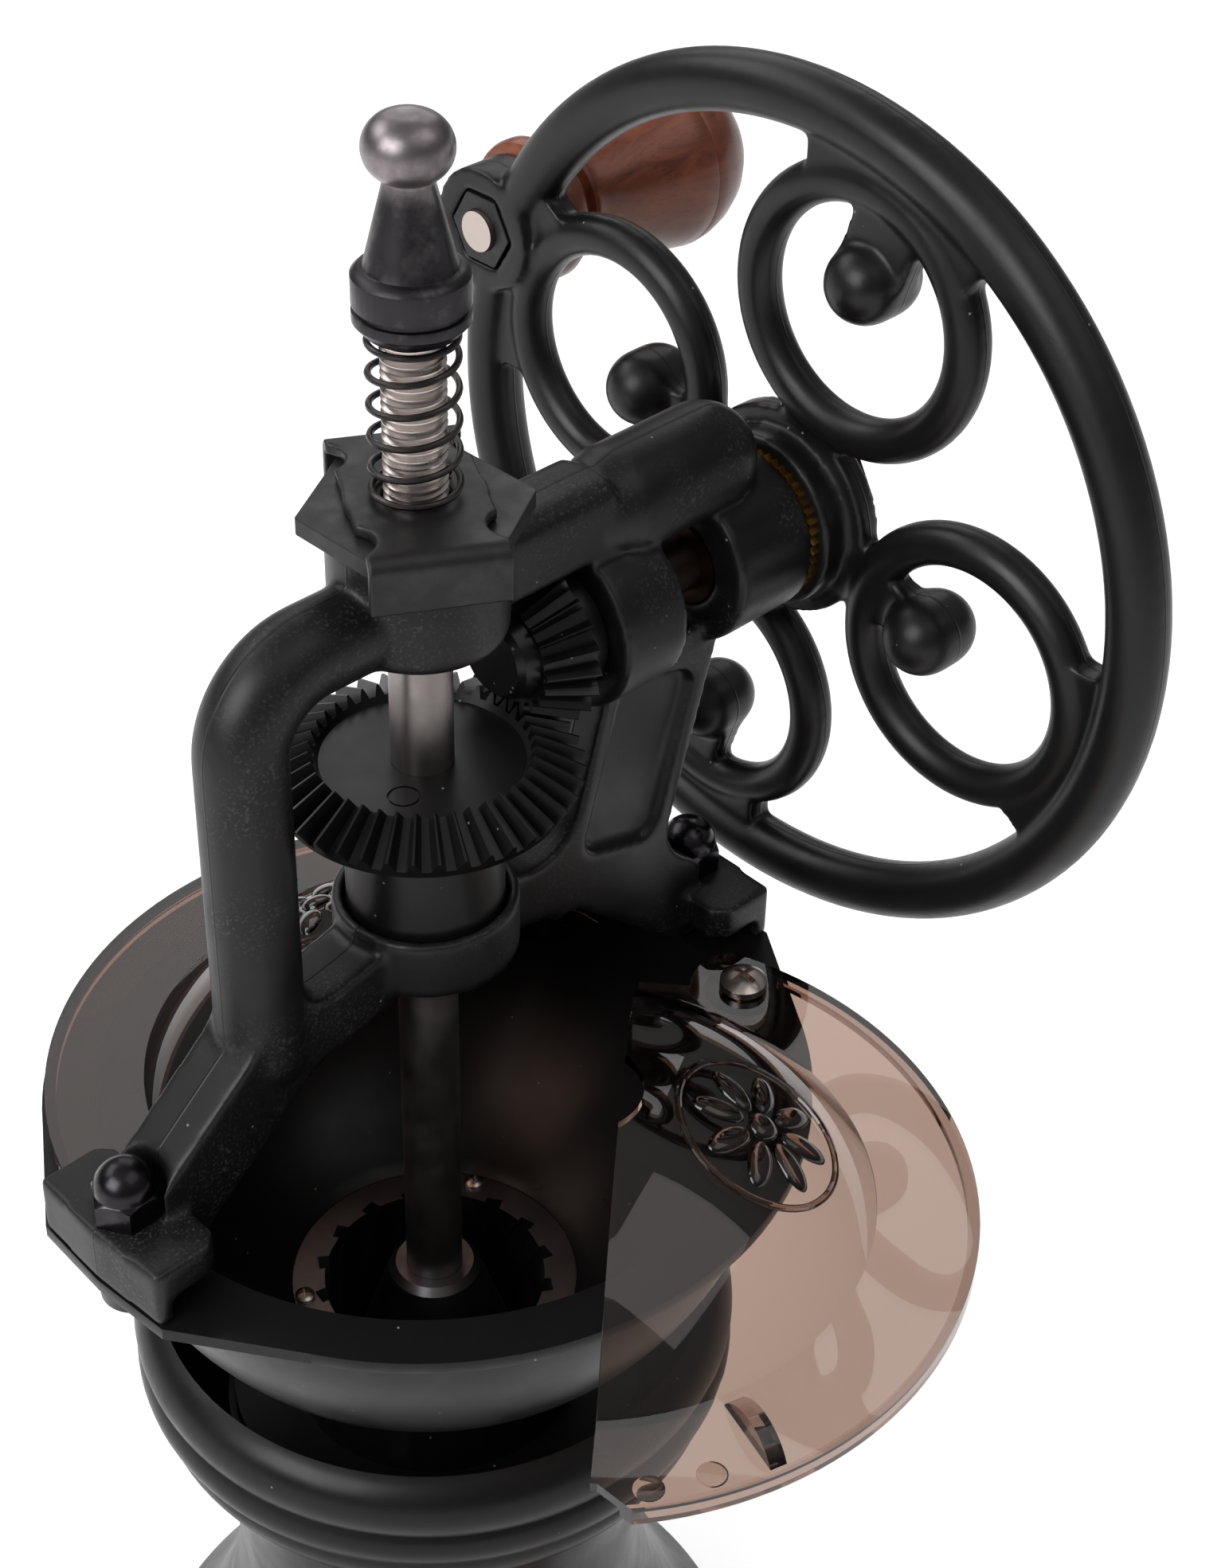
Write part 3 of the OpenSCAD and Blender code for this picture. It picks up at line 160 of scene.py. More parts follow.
@dataclass(frozen=True)
class Finish:
    """A real material; its subclasses say how its surface was made."""

    name: str
    colour: str
    roughness: float

    def material(self) -> bpy.types.Material:
        """Returns the material, made at its first use."""
        known = bpy.data.materials.get(self.name)
        if known is not None:
            return known
        made = bpy.data.materials.new(self.name)
        made.use_nodes = True
        tree = made.node_tree
        tree.nodes.clear()
        shader = put(tree, "ShaderNodeBsdfPrincipled",
                     {"Base Color": linear(self.colour), "Roughness": self.roughness})
        out = put(tree, "ShaderNodeOutputMaterial", {"Surface": shader.outputs["BSDF"]})
        place = put(tree, "ShaderNodeTexCoord").outputs["Object"]
        made.diffuse_color = linear(self.colour)
        self.surface(tree, shader, place)
        self.inside(tree, out)
        return made

    def surface(self, tree: bpy.types.NodeTree, shader: bpy.types.Node,
                place: bpy.types.NodeSocket) -> None:
        """Adds the surface's own nodes.

        Args:
            tree: the material's node tree.
            shader: its principled shader.
            place: Object coordinates.
        """

    def inside(self, tree: bpy.types.NodeTree, out: bpy.types.Node) -> None:
        """Adds what fills a see-through body.

        Args:
            tree: the material's node tree.
            out: its output node.
        """


@dataclass(frozen=True)
class MouldedPlastic(Finish):
    """Moulded black plastic: grained satin, uneven gloss, dust, scuffs and a parting line."""

    worn: str = "#4b4a4b"
    grain_mm: float = 0.45
    grain_depth_mm: float = 0.012
    dust: float = 0.5
    parting: Optional[Axis] = None
    parting_at_mm: float = 0.0
    edge_wear: float = 0.0
    specular: float = 0.28
    scuffs: float = 0.0
    patch_mm: float = 14.0
    shade: float = 0.72
    gloss_spread: tuple[float, float] = (0.07, 0.09)
    dust_colour: str = "#807c79"
    dust_cell_mm: float = 2.4
    dust_share: float = 0.35
    parting_half_mm: tuple[float, float] = (0.06, 0.22)
    parting_lift: float = 4.5

    def surface(self, tree: bpy.types.NodeTree, shader: bpy.types.Node,
                place: bpy.types.NodeSocket) -> None:
        """Adds grain, uneven gloss, dust specks, wear and the parting line.

        Args:
            tree: the material's node tree.
            shader: its principled shader.
            place: Object coordinates.
        """
        grain = put(tree, "ShaderNodeTexNoise", {
            "Vector": place, "Scale": per_metre(self.grain_mm), "Detail": 3.0, "Roughness": 0.6})
        patch = put(tree, "ShaderNodeTexNoise", {
            "Vector": place, "Scale": per_metre(self.patch_mm), "Detail": 4.0, "Roughness": 0.62})
        gloss = put(tree, "ShaderNodeMapRange", {
            "Value": patch.outputs["Fac"], "From Min": 0.3, "From Max": 0.7,
            "To Min": self.roughness - self.gloss_spread[0],
            "To Max": self.roughness + self.gloss_spread[1]})
        cells = put(tree, "ShaderNodeTexVoronoi", {
            "Vector": place, "Scale": per_metre(self.dust_cell_mm), "Randomness": 1.0})
        spot = put(tree, "ShaderNodeMapRange", {
            "Value": cells.outputs["Distance"], "From Min": 0.05, "From Max": 0.085,
            "To Min": 1.0, "To Max": 0.0})
        lot = put(tree, "ShaderNodeSeparateColor", {"Color": cells.outputs["Color"]})
        gate = put(tree, "ShaderNodeMath", {
            0: lot.outputs["Red"], 1: 1.0 - self.dust_share * self.dust},
            operation="GREATER_THAN")
        speck = put(tree, "ShaderNodeMath", {0: spot.outputs["Result"], 1: gate.outputs["Value"]},
                    operation="MULTIPLY")
        tone = put(tree, "ShaderNodeMix", {
            "Factor": patch.outputs["Fac"], "A": linear(self.colour),
            "B": [self.shade * c for c in linear(self.colour)[:3]] + [1.0]}, data_type="RGBA")
        dusty = put(tree, "ShaderNodeMix", {
            "Factor": speck.outputs["Value"], "A": tone.outputs["Result"],
            "B": linear(self.dust_colour)}, data_type="RGBA")
        colour = dusty.outputs["Result"]
        if self.edge_wear:
            shape = put(tree, "ShaderNodeNewGeometry")
            edge = put(tree, "ShaderNodeMapRange", {
                "Value": shape.outputs["Pointiness"], "From Min": 0.53, "From Max": 0.62,
                "To Min": 0.0, "To Max": self.edge_wear})
            rubbed = put(tree, "ShaderNodeMath", {
                0: edge.outputs["Result"], 1: patch.outputs["Fac"]}, operation="MULTIPLY")
            colour = put(tree, "ShaderNodeMix", {
                "Factor": rubbed.outputs["Value"], "A": colour, "B": linear(self.worn)},
                data_type="RGBA").outputs["Result"]
        if self.scuffs:
            handled = put(tree, "ShaderNodeMapRange", {
                "Value": patch.outputs["Fac"], "From Min": 0.46, "From Max": 0.64,
                "To Min": 0.0, "To Max": self.scuffs})
            high_spots = put(tree, "ShaderNodeMapRange", {
                "Value": grain.outputs["Fac"], "From Min": 0.54, "From Max": 0.64})
            scuff = put(tree, "ShaderNodeMath", {
                0: handled.outputs["Result"], 1: high_spots.outputs["Result"]},
                operation="MULTIPLY")
            colour = put(tree, "ShaderNodeMix", {
                "Factor": scuff.outputs["Value"], "A": colour, "B": linear(self.worn)},
                data_type="RGBA").outputs["Result"]
        height = grain.outputs["Fac"]
        if self.parting is not None:
            apart = put(tree, "ShaderNodeSeparateXYZ", {"Vector": place})
            off = put(tree, "ShaderNodeMath", {
                0: apart.outputs[self.parting.value], 1: self.parting_at_mm * MM},
                operation="SUBTRACT")
            away = put(tree, "ShaderNodeMath", {0: off.outputs["Value"]}, operation="ABSOLUTE")
            line = put(tree, "ShaderNodeMapRange", {
                "Value": away.outputs["Value"], "From Min": self.parting_half_mm[0] * MM,
                "From Max": self.parting_half_mm[1] * MM,
                "To Min": self.parting_lift, "To Max": 0.0})
            height = put(tree, "ShaderNodeMath", {
                0: height, 1: line.outputs["Result"]}, operation="ADD").outputs["Value"]
        bump = put(tree, "ShaderNodeBump", {
            "Height": height, "Strength": 1.0, "Distance": self.grain_depth_mm * MM})
        shader.inputs["Specular IOR Level"].default_value = self.specular
        tree.links.new(colour, shader.inputs["Base Color"])
        tree.links.new(gloss.outputs["Result"], shader.inputs["Roughness"])
        tree.links.new(bump.outputs["Normal"], shader.inputs["Normal"])


@dataclass(frozen=True)
class MachinedMetal(Finish):
    """Turned, drawn or pressed metal: fine tool lines round one axis and a cloudy gloss."""

    # Rubbed colour; where a height is given it also colours the painted highlight
    worn: str = "#8c8a88"
    lines: Axis = Axis.Z
    line_mm: float = 0.3
    line_depth_mm: float = 0.006
    wear: float = 0.25
    metal: float = 1.0
    # Height in mm above which a painted highlight is laid, and the span it rises over
    highlight_above_mm: Optional[float] = None
    highlight_over_mm: float = 4.0
    cloud_mm: float = 5.0
    gloss_spread: float = 0.08
    stretch: float = 0.04

    def surface(self, tree: bpy.types.NodeTree, shader: bpy.types.Node,
                place: bpy.types.NodeSocket) -> None:
        """Adds tool lines, clouding, rubbed patches and a mottled painted highlight above a given
        height.

        Args:
            tree: the material's node tree.
            shader: its principled shader.
            place: Object coordinates.
        """
        mapped = put(tree, "ShaderNodeMapping", {
            "Vector": place, "Scale": axis_scale(self.lines, 1.0, self.stretch)})
        lines = put(tree, "ShaderNodeTexNoise", {
            "Vector": mapped.outputs["Vector"], "Scale": per_metre(self.line_mm), "Detail": 3.0})
        cloud = put(tree, "ShaderNodeTexNoise", {
            "Vector": place, "Scale": per_metre(self.cloud_mm), "Detail": 4.0, "Roughness": 0.65})
        rub = put(tree, "ShaderNodeMapRange", {
            "Value": cloud.outputs["Fac"], "From Min": 0.5, "From Max": 0.72,
            "To Min": 0.0, "To Max": self.wear})
        tone = put(tree, "ShaderNodeMix", {
            "Factor": rub.outputs["Result"], "A": linear(self.colour), "B": linear(self.worn)},
            data_type="RGBA")
        colour = tone.outputs["Result"]
        # Painted highlight: the colour turns lighter above a given height, mottled by the cloud
        # noise
        if self.highlight_above_mm is not None:
            height = put(tree, "ShaderNodeSeparateXYZ", {"Vector": place})
            highlight_band = put(tree, "ShaderNodeMapRange", {
                "Value": height.outputs["Z"], "From Min": self.highlight_above_mm * MM,
                "From Max": (self.highlight_above_mm + self.highlight_over_mm) * MM})
            painted_highlight = put(tree, "ShaderNodeMath", {
                0: highlight_band.outputs["Result"], 1: cloud.outputs["Fac"]}, operation="MULTIPLY")
            colour = put(tree, "ShaderNodeMix", {
                "Factor": painted_highlight.outputs["Value"], "A": colour, "B": linear(self.worn)},
                data_type="RGBA").outputs["Result"]
        gloss = put(tree, "ShaderNodeMapRange", {
            "Value": cloud.outputs["Fac"], "From Min": 0.3, "From Max": 0.7,
            "To Min": self.roughness + self.gloss_spread,
            "To Max": self.roughness - self.gloss_spread})
        bump = put(tree, "ShaderNodeBump", {
            "Height": lines.outputs["Fac"], "Strength": 1.0, "Distance": self.line_depth_mm * MM})
        shader.inputs["Metallic"].default_value = self.metal
        tree.links.new(colour, shader.inputs["Base Color"])
        tree.links.new(gloss.outputs["Result"], shader.inputs["Roughness"])
        tree.links.new(bump.outputs["Normal"], shader.inputs["Normal"])


@dataclass(frozen=True)
class TurnedWood(Finish):
    """Turned and lacquered hardwood: long streaks, a cloudy tone and dark pores."""

    dark: str = "#55291b"
    pale: str = "#955a40"
    along: Axis = Axis.X
    pore: str = "#24100b"
    stretch: float = 0.12
    streak_mm: float = 3.2
    pore_mm: float = 0.5
    pore_depth_mm: float = 0.02
    cloud_mm: float = 13.0
    specular: float = 0.3
    ior: float = 1.5
    lacquer: float = 0.2
    lacquer_roughness: float = 0.22

    def surface(self, tree: bpy.types.NodeTree, shader: bpy.types.Node,
                place: bpy.types.NodeSocket) -> None:
        """Adds streaks, the cloudy tone, pores and a lacquer coat.

        Args:
            tree: the material's node tree.
            shader: its principled shader.
            place: Object coordinates.
        """
        mapped = put(tree, "ShaderNodeMapping", {
            "Vector": place, "Scale": axis_scale(self.along, self.stretch, 1.0)})
        streak = put(tree, "ShaderNodeTexNoise", {
            "Vector": mapped.outputs["Vector"], "Scale": per_metre(self.streak_mm), "Detail": 5.0,
            "Roughness": 0.6, "Distortion": 0.8})
        pores = put(tree, "ShaderNodeTexNoise", {
            "Vector": mapped.outputs["Vector"], "Scale": per_metre(self.pore_mm), "Detail": 2.0})
        cloud = put(tree, "ShaderNodeTexNoise", {
            "Vector": place, "Scale": per_metre(self.cloud_mm), "Detail": 2.0})
        body = put(tree, "ShaderNodeMapRange", {
            "Value": streak.outputs["Fac"], "From Min": 0.34, "From Max": 0.68})
        tone = put(tree, "ShaderNodeMix", {
            "Factor": body.outputs["Result"], "A": linear(self.dark), "B": linear(self.colour)},
            data_type="RGBA")
        light = put(tree, "ShaderNodeMapRange", {
            "Value": cloud.outputs["Fac"], "From Min": 0.45, "From Max": 0.75, "To Max": 0.75})
        warm = put(tree, "ShaderNodeMix", {
            "Factor": light.outputs["Result"], "A": tone.outputs["Result"], "B": linear(self.pale)},
            data_type="RGBA")
        pit = put(tree, "ShaderNodeMapRange", {
            "Value": pores.outputs["Fac"], "From Min": 0.28, "From Max": 0.42,
            "To Min": 0.4, "To Max": 0.0})
        colour = put(tree, "ShaderNodeMix", {
            "Factor": pit.outputs["Result"], "A": warm.outputs["Result"], "B": linear(self.pore)},
            data_type="RGBA")
        bump = put(tree, "ShaderNodeBump", {
            "Height": pores.outputs["Fac"], "Strength": 0.6, "Distance": self.pore_depth_mm * MM})
        shader.inputs["Coat Weight"].default_value = self.lacquer
        shader.inputs["Coat Roughness"].default_value = self.lacquer_roughness
        shader.inputs["Specular IOR Level"].default_value = self.specular
        shader.inputs["IOR"].default_value = self.ior
        tree.links.new(colour.outputs["Result"], shader.inputs["Base Color"])
        tree.links.new(bump.outputs["Normal"], shader.inputs["Normal"])


@dataclass(frozen=True)
class SmokedAcrylic(Finish):
    """Glossy smoked acrylic: see-through, darker where it is thick, with faint flow waves."""

    depth_colour: str = "#9e6e63"
    depth_per_m: float = 300.0
    ior: float = 1.49
    wave_mm: float = 16.0
    wave_depth_mm: float = 0.05

    def surface(self, tree: bpy.types.NodeTree, shader: bpy.types.Node,
                place: bpy.types.NodeSocket) -> None:
        """Adds the clear body and the moulding's waviness.

        Args:
            tree: the material's node tree.
            shader: its principled shader.
            place: Object coordinates.
        """
        wave = put(tree, "ShaderNodeTexNoise", {
            "Vector": place, "Scale": per_metre(self.wave_mm), "Detail": 1.0})
        bump = put(tree, "ShaderNodeBump", {
            "Height": wave.outputs["Fac"], "Strength": 1.0, "Distance": self.wave_depth_mm * MM})
        shader.inputs["Transmission Weight"].default_value = 1.0
        shader.inputs["IOR"].default_value = self.ior
        tree.links.new(bump.outputs["Normal"], shader.inputs["Normal"])

    def inside(self, tree: bpy.types.NodeTree, out: bpy.types.Node) -> None:
        """Fills the body with brown smoke that takes light away along its depth.

        Args:
            tree: the material's node tree.
            out: its output node.
        """
        smoke = put(tree, "ShaderNodeVolumeAbsorption", {
            "Color": linear(self.depth_colour), "Density": self.depth_per_m})
        tree.links.new(smoke.outputs["Volume"], out.inputs["Volume"])


# Satin moulded ABS: black with a soft sheen and scuffs; its mould parts on the yoke's middle plane
FRAME_ABS = MouldedPlastic("abs_moulded_satin_frame", "#131213", 0.40, parting=Axis.Y,
                           edge_wear=0.9, scuffs=0.55)
# The wheel's mould parts on the wheel's middle plane
WHEEL_ABS = MouldedPlastic("abs_moulded_satin_wheel", "#121112", 0.36, dust=0.3, parting=Axis.X,
                           parting_at_mm=66.6, edge_wear=0.4)
# Hopper and base: the same plastic, off a smoother tool
HOPPER_ABS = MouldedPlastic("abs_moulded_satin_hopper", "#131213", 0.34, grain_mm=0.6,
                            grain_depth_mm=0.006, dust=0.4, specular=0.2)
# Gears: nylon, a little greyer and dustier than the frame, off a fine tool
GEAR_NYLON = MouldedPlastic("nylon_moulded_gear", "#141314", 0.34, grain_mm=0.5,
                            grain_depth_mm=0.005, dust=0.7)
# Rubber pad: dull and finely pebbled
PAD_RUBBER = MouldedPlastic("rubber_moulded_pad", "#1d1d1d", 0.78, grain_mm=0.7,
                            grain_depth_mm=0.03)
# Drawn bright steel rod: fine rings from centreless grinding
BRIGHT_STEEL = MachinedMetal("steel_drawn_bright", "#8f8886", 0.42, worn="#aaa39f")
# Cut thread, bright and rippled
THREAD_STEEL = MachinedMetal("steel_cut_thread", "#bfb5b0", 0.30, worn="#ddd4d0", line_mm=0.22,
                             line_depth_mm=0.012)
# Zinc plated screws: pale and a little warm
ZINC_STEEL = MachinedMetal("steel_zinc_plated", "#b9aca6", 0.30, line_mm=0.5, line_depth_mm=0.002)
# Blackened turned steel: near black, silky, with rubbed patches and a mottled painted highlight on
# the cap's ball above 268 mm
BLACK_OXIDE = MachinedMetal("steel_black_oxide_turned", "#353335", 0.36, worn="#a0979a", wear=0.2,
                            highlight_above_mm=268.0)
# Blackened pressed sheet: flatter and duller than the turned part
BLACK_SHEET = MachinedMetal("steel_black_oxide_sheet", "#242324", 0.42, worn="#4a4848",
                            lines=Axis.X, line_mm=0.8, line_depth_mm=0.003, metal=0.55)
# Glossy blackened dome nuts
BLACK_NUT = MachinedMetal("steel_black_oxide_polished", "#2f2d30", 0.24, worn="#5c5a5c",
                          line_mm=0.6, line_depth_mm=0.002)
# Spring wire: dark tempered steel
SPRING_WIRE = MachinedMetal("steel_tempered_wire", "#3a3636", 0.34, worn="#6a6462", line_mm=0.5,
                            line_depth_mm=0.003)
# Hardened burr steel: dark grey with grinding lines
BURR_STEEL = MachinedMetal("steel_hardened_burr", "#77767a", 0.36)
# Sintered bronze bushes
SINTERED_BRONZE = MachinedMetal("bronze_sintered_oiled", "#4f3a2a", 0.45, worn="#6d5138",
                                lines=Axis.X)
# Axle and washer: drawn steel coloured dark brown
AXLE_STEEL = MachinedMetal("steel_drawn_dark_brown", "#463d39", 0.40, worn="#6a605b", lines=Axis.X)
# Stamped brass ring, dulled
STAMPED_BRASS = MachinedMetal("brass_stamped", "#a9803a", 0.34, worn="#d2a95a", lines=Axis.X)
# Stained and lacquered hardwood knob
KNOB_WOOD = TurnedWood("hardwood_turned_stained", "#7a4029", 0.34)
DRAWER_WOOD = TurnedWood("hardwood_turned_stained_small", "#7a4029", 0.34, along=Axis.Y)
# Smoked acrylic covers
SMOKED_COVER = SmokedAcrylic("acrylic_moulded_smoked", "#c2ac9d", 0.01)
# Ejector pips: shallow clear domes that melt into the cover
COVER_PIPS = SmokedAcrylic("acrylic_moulded_pips", "#f0e8e2", 0.01, depth_per_m=0.0, ior=1.1)


def dress(frame: dict[str, Any], finish: Finish, *nodes: str) -> None:
    """Gives CAD nodes a finish.

    Args:
        finish: the finish.
        nodes: the nodes' names.
    """
    for name in nodes:
        obj = frame["nodes"][name]
        obj.data.materials.clear()
        obj.data.materials.append(finish.material())
        LOG.info("dressed %s with %s", name, finish.name)


def soften(obj: bpy.types.Object, voxel_mm: float, rounds: int, factor: float = 0.5) -> None:
    """Rounds a moulded part's edges and inner corners.

    Args:
        obj: the CAD node's object.
        voxel_mm: mesh size of the rounded skin.
        rounds: smoothing passes.
        factor: weight of each pass.
    """
    skin = obj.modifiers.new("moulded_skin", "REMESH")
    skin.mode = "VOXEL"
    skin.voxel_size = voxel_mm * MM
    skin.use_smooth_shade = True
    ease = obj.modifiers.new("moulded_radii", "SMOOTH")
    ease.factor = factor
    ease.iterations = rounds


def break_edges(obj: bpy.types.Object, width_mm: float, angle: float = 40.0) -> None:
    """Breaks the sharp edges of a machined part.

    Args:
        obj: the CAD node's object.
        width_mm: width of the broken edge.
        angle: least edge angle in degrees.
    """
    weld = obj.modifiers.new("joined_faces", "WELD")
    weld.merge_threshold = 10 * SAME_PLACE
    edge = obj.modifiers.new("broken_edges", "BEVEL")
    edge.width = width_mm * MM
    edge.segments = 2
    edge.limit_method = "ANGLE"
    edge.angle_limit = math.radians(angle)
    edge.harden_normals = True


def finished_piece(name: str, bm: bmesh.types.BMesh, body: str, finish: Finish,
                   replaced: Sequence[str] = (), sharp: float = 35.0) -> bpy.types.Object:
    """Makes a piece from a bmesh and lets it ride on a body.

    Args:
        name: the piece's name.
        bm: its mesh in metres, at its place; it is freed here.
        body: the body that it moves with.
        finish: its finish.
        replaced: CAD nodes that it stands for.
        sharp: edges over this angle in degrees stay sharp.

    Returns:
        The new object.
    """
    bmesh.ops.remove_doubles(bm, verts=bm.verts, dist=SAME_PLACE)
    bmesh.ops.recalc_face_normals(bm, faces=bm.faces)
    mesh = bpy.data.meshes.new(name)
    bm.to_mesh(mesh)
    bm.free()
    mesh.shade_smooth()
    mesh.set_sharp_from_angle(angle=math.radians(sharp))
    mesh.materials.append(finish.material())
    obj = bpy.data.objects.new(name, mesh)
    bpy.context.scene.collection.objects.link(obj)
    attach(obj, body)
    if replaced:
        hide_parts(*replaced)
    LOG.info("made %s on %s", name, body)
    return obj


def lathe(bm: bmesh.types.BMesh, outline: Iterable[tuple[float, float]], steps: int = 64,
          place: Optional[Matrix] = None) -> list[bmesh.types.BMVert]:
    """Turns an outline about the Z axis.

    Args:
        bm: the bmesh that takes the shape.
        outline: radius and height pairs in mm; a closed ring if its ends meet.
        steps: facets round the turn.
        place: where the turned shape goes.

    Returns:
        The new vertices.
    """
    known = set(bm.verts)
    verts = [bm.verts.new((r * MM, 0.0, z * MM)) for r, z in outline]
    edges = [bm.edges.new(pair) for pair in zip(verts, verts[1:])]
    bmesh.ops.spin(bm, geom=verts + edges, cent=(0, 0, 0), axis=(0, 0, 1), dvec=(0, 0, 0),
                   angle=2 * math.pi, steps=steps, use_merge=True)
    made = [v for v in bm.verts if v not in known]
    bmesh.ops.remove_doubles(bm, verts=made, dist=SAME_PLACE)
    made = [v for v in bm.verts if v not in known]
    if place is not None:
        bmesh.ops.transform(bm, matrix=place, verts=made)
    return made


def screw_sweep(bm: bmesh.types.BMesh, ring: Sequence[tuple[float, float]],
                legs: Sequence[tuple[float, float]], steps_per_turn: int = 40) -> None:
    """Winds a closed section round the Z axis and closes both ends.

    Args:
        bm: the bmesh that takes the shape.
        ring: the section's radius and height pairs in mm.
        legs: turns and rise in mm of each leg of the winding.
        steps_per_turn: facets in one turn.
    """
    verts = [bm.verts.new((r * MM, 0.0, z * MM)) for r, z in ring]
    edges = [bm.edges.new((a, b)) for a, b in zip(verts, verts[1:] + verts[:1])]
    bm.faces.new(verts)
    geom: list[Any] = verts + edges
    for turns, rise in legs:
        steps = max(2, round(turns * steps_per_turn))
        swept = bmesh.ops.spin(bm, geom=geom, cent=(0, 0, 0), axis=(0, 0, 1),
                               dvec=(0, 0, rise * MM / steps), angle=2 * math.pi * turns,
                               steps=steps, use_merge=False)
        geom = [e for e in swept["geom_last"] if not isinstance(e, bmesh.types.BMFace)]
    last = [e for e in geom if isinstance(e, bmesh.types.BMEdge)]
    bmesh.ops.contextual_create(bm, geom=last)


def cut_flat(bm: bmesh.types.BMesh, verts: Iterable[bmesh.types.BMVert], at_mm: float) -> None:
    """Cuts a flat across +Y and closes it.

    Args:
        bm: the bmesh.
        verts: the vertices of the shape to cut.
        at_mm: distance of the flat from the axis.
    """
    chosen = set(verts)
    geom: list[Any] = [v for v in bm.verts if v in chosen]
    geom += [e for e in bm.edges if e.verts[0] in chosen]
    geom += [f for f in bm.faces if f.verts[0] in chosen]
    bmesh.ops.bisect_plane(bm, geom=geom, dist=SAME_PLACE / 10, plane_co=(0, at_mm * MM, 0),
                           plane_no=(0, 1, 0), clear_outer=True)
    bmesh.ops.holes_fill(bm, edges=[e for e in bm.edges if e.is_boundary], sides=0)


@dataclass
class Stand:
    """Base, hopper, ring burr and yoke frame."""

    skin_mm: float = 0.58
    rounds: int = 7
    nut_edge: float = 0.2
    flange_edge: float = 0.4
    flange_angle: float = 50.0

    def build(self, frame: dict[str, Any]) -> None:
        """Dresses the standing parts.
        """
        dress(frame, HOPPER_ABS, "base", "hopper", "base_plate")
        dress(frame, FRAME_ABS, "frame")
        dress(frame, PAD_RUBBER, "base_pad")
        dress(frame, ZINC_STEEL, "plate_screws", "hopper_screws", "burr_screws", "cover_screws")
        dress(frame, BURR_STEEL, "ring_burr")
        dress(frame, BLACK_NUT, "cap_nuts", "frame_studs")
        dress(frame, SINTERED_BRONZE, "shaft_bushes", "axle_bushes")
        soften(frame["nodes"]["frame"], self.skin_mm, self.rounds)
        break_edges(frame["nodes"]["cap_nuts"], self.nut_edge)
        break_edges(frame["nodes"]["hopper"], self.flange_edge, self.flange_angle)


@dataclass
class Spindle:
    """Main shaft with its thread, drive gear, cone burr, hexagon plate and cap."""

    rod_r: float = 4.0
    core_r: float = 3.4
    crest_r: float = 3.85
    flat_at: float = 3.1
    flat_from: float = 169.8
    thread_from: float = 228.0
    cap_from: float = 252.1
    pitch: float = 1.0
    foot_chamfer: float = 0.6
    lap: float = 0.01
    root_sink: float = 0.25
    run_in: float = 0.6
    crest_span: tuple[float, float] = (0.42, 0.58)
    plate_edge: float = 0.3
    cap_edge: float = 0.15
    cap_angle: float = 30.0

    def build(self, frame: dict[str, Any]) -> None:
        """Builds the threaded shaft and dresses the rest.
        """
        self.shaft()
        dress(frame, GEAR_NYLON, "drive_gear")
        dress(frame, BURR_STEEL, "cone_burr", "burr_nut")
        dress(frame, BLACK_SHEET, "hex_plate")
        dress(frame, BLACK_OXIDE, "spring_cap")
        break_edges(frame["nodes"]["hex_plate"], self.plate_edge)
        break_edges(frame["nodes"]["spring_cap"], self.cap_edge, self.cap_angle)

    def shaft(self) -> None:
        """Turns the rod, cuts its flat and winds its thread."""
        low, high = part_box("main_shaft")
        foot, top = low[2] / MM, high[2] / MM
        bm = bmesh.new()
        lathe(bm, [(0, foot), (self.rod_r - self.foot_chamfer, foot),
                   (self.rod_r, foot + self.foot_chamfer), (self.rod_r, self.flat_from),
                   (0, self.flat_from)])
        # Each length is a closed shell that laps a hair into the one below
        keyed_r, keyed_foot = self.rod_r - self.lap, self.flat_from - self.lap
        keyed = lathe(bm, [(0, keyed_foot), (keyed_r, keyed_foot),
                           (keyed_r, self.thread_from - self.run_in),
                           (self.core_r, self.thread_from), (self.core_r, self.cap_from),
                           (0, self.cap_from)])
        cut_flat(bm, keyed, self.flat_at)
        tip_r, tip_foot = self.core_r - self.lap, self.cap_from - self.lap
        lathe(bm, [(0, tip_foot), (tip_r, tip_foot), (tip_r, top), (0, top)])
        finished_piece("main_shaft_rod", bm, "spindle", BRIGHT_STEEL, ["main_shaft"])
        bm = bmesh.new()
        turns = (self.cap_from - self.thread_from) / self.pitch - 1
        start, root_r = self.thread_from, self.core_r - self.root_sink
        rise, fall = (start + self.pitch * share for share in self.crest_span)
        section = [(root_r, start + self.lap), (self.crest_r, rise), (self.crest_r, fall),
                   (root_r, start + self.pitch - self.lap)]
        screw_sweep(bm, section, [(turns, turns * self.pitch)])
        cut_flat(bm, bm.verts, self.flat_at)
        finished_piece("main_shaft_thread", bm, "spindle", THREAD_STEEL, sharp=50.0)


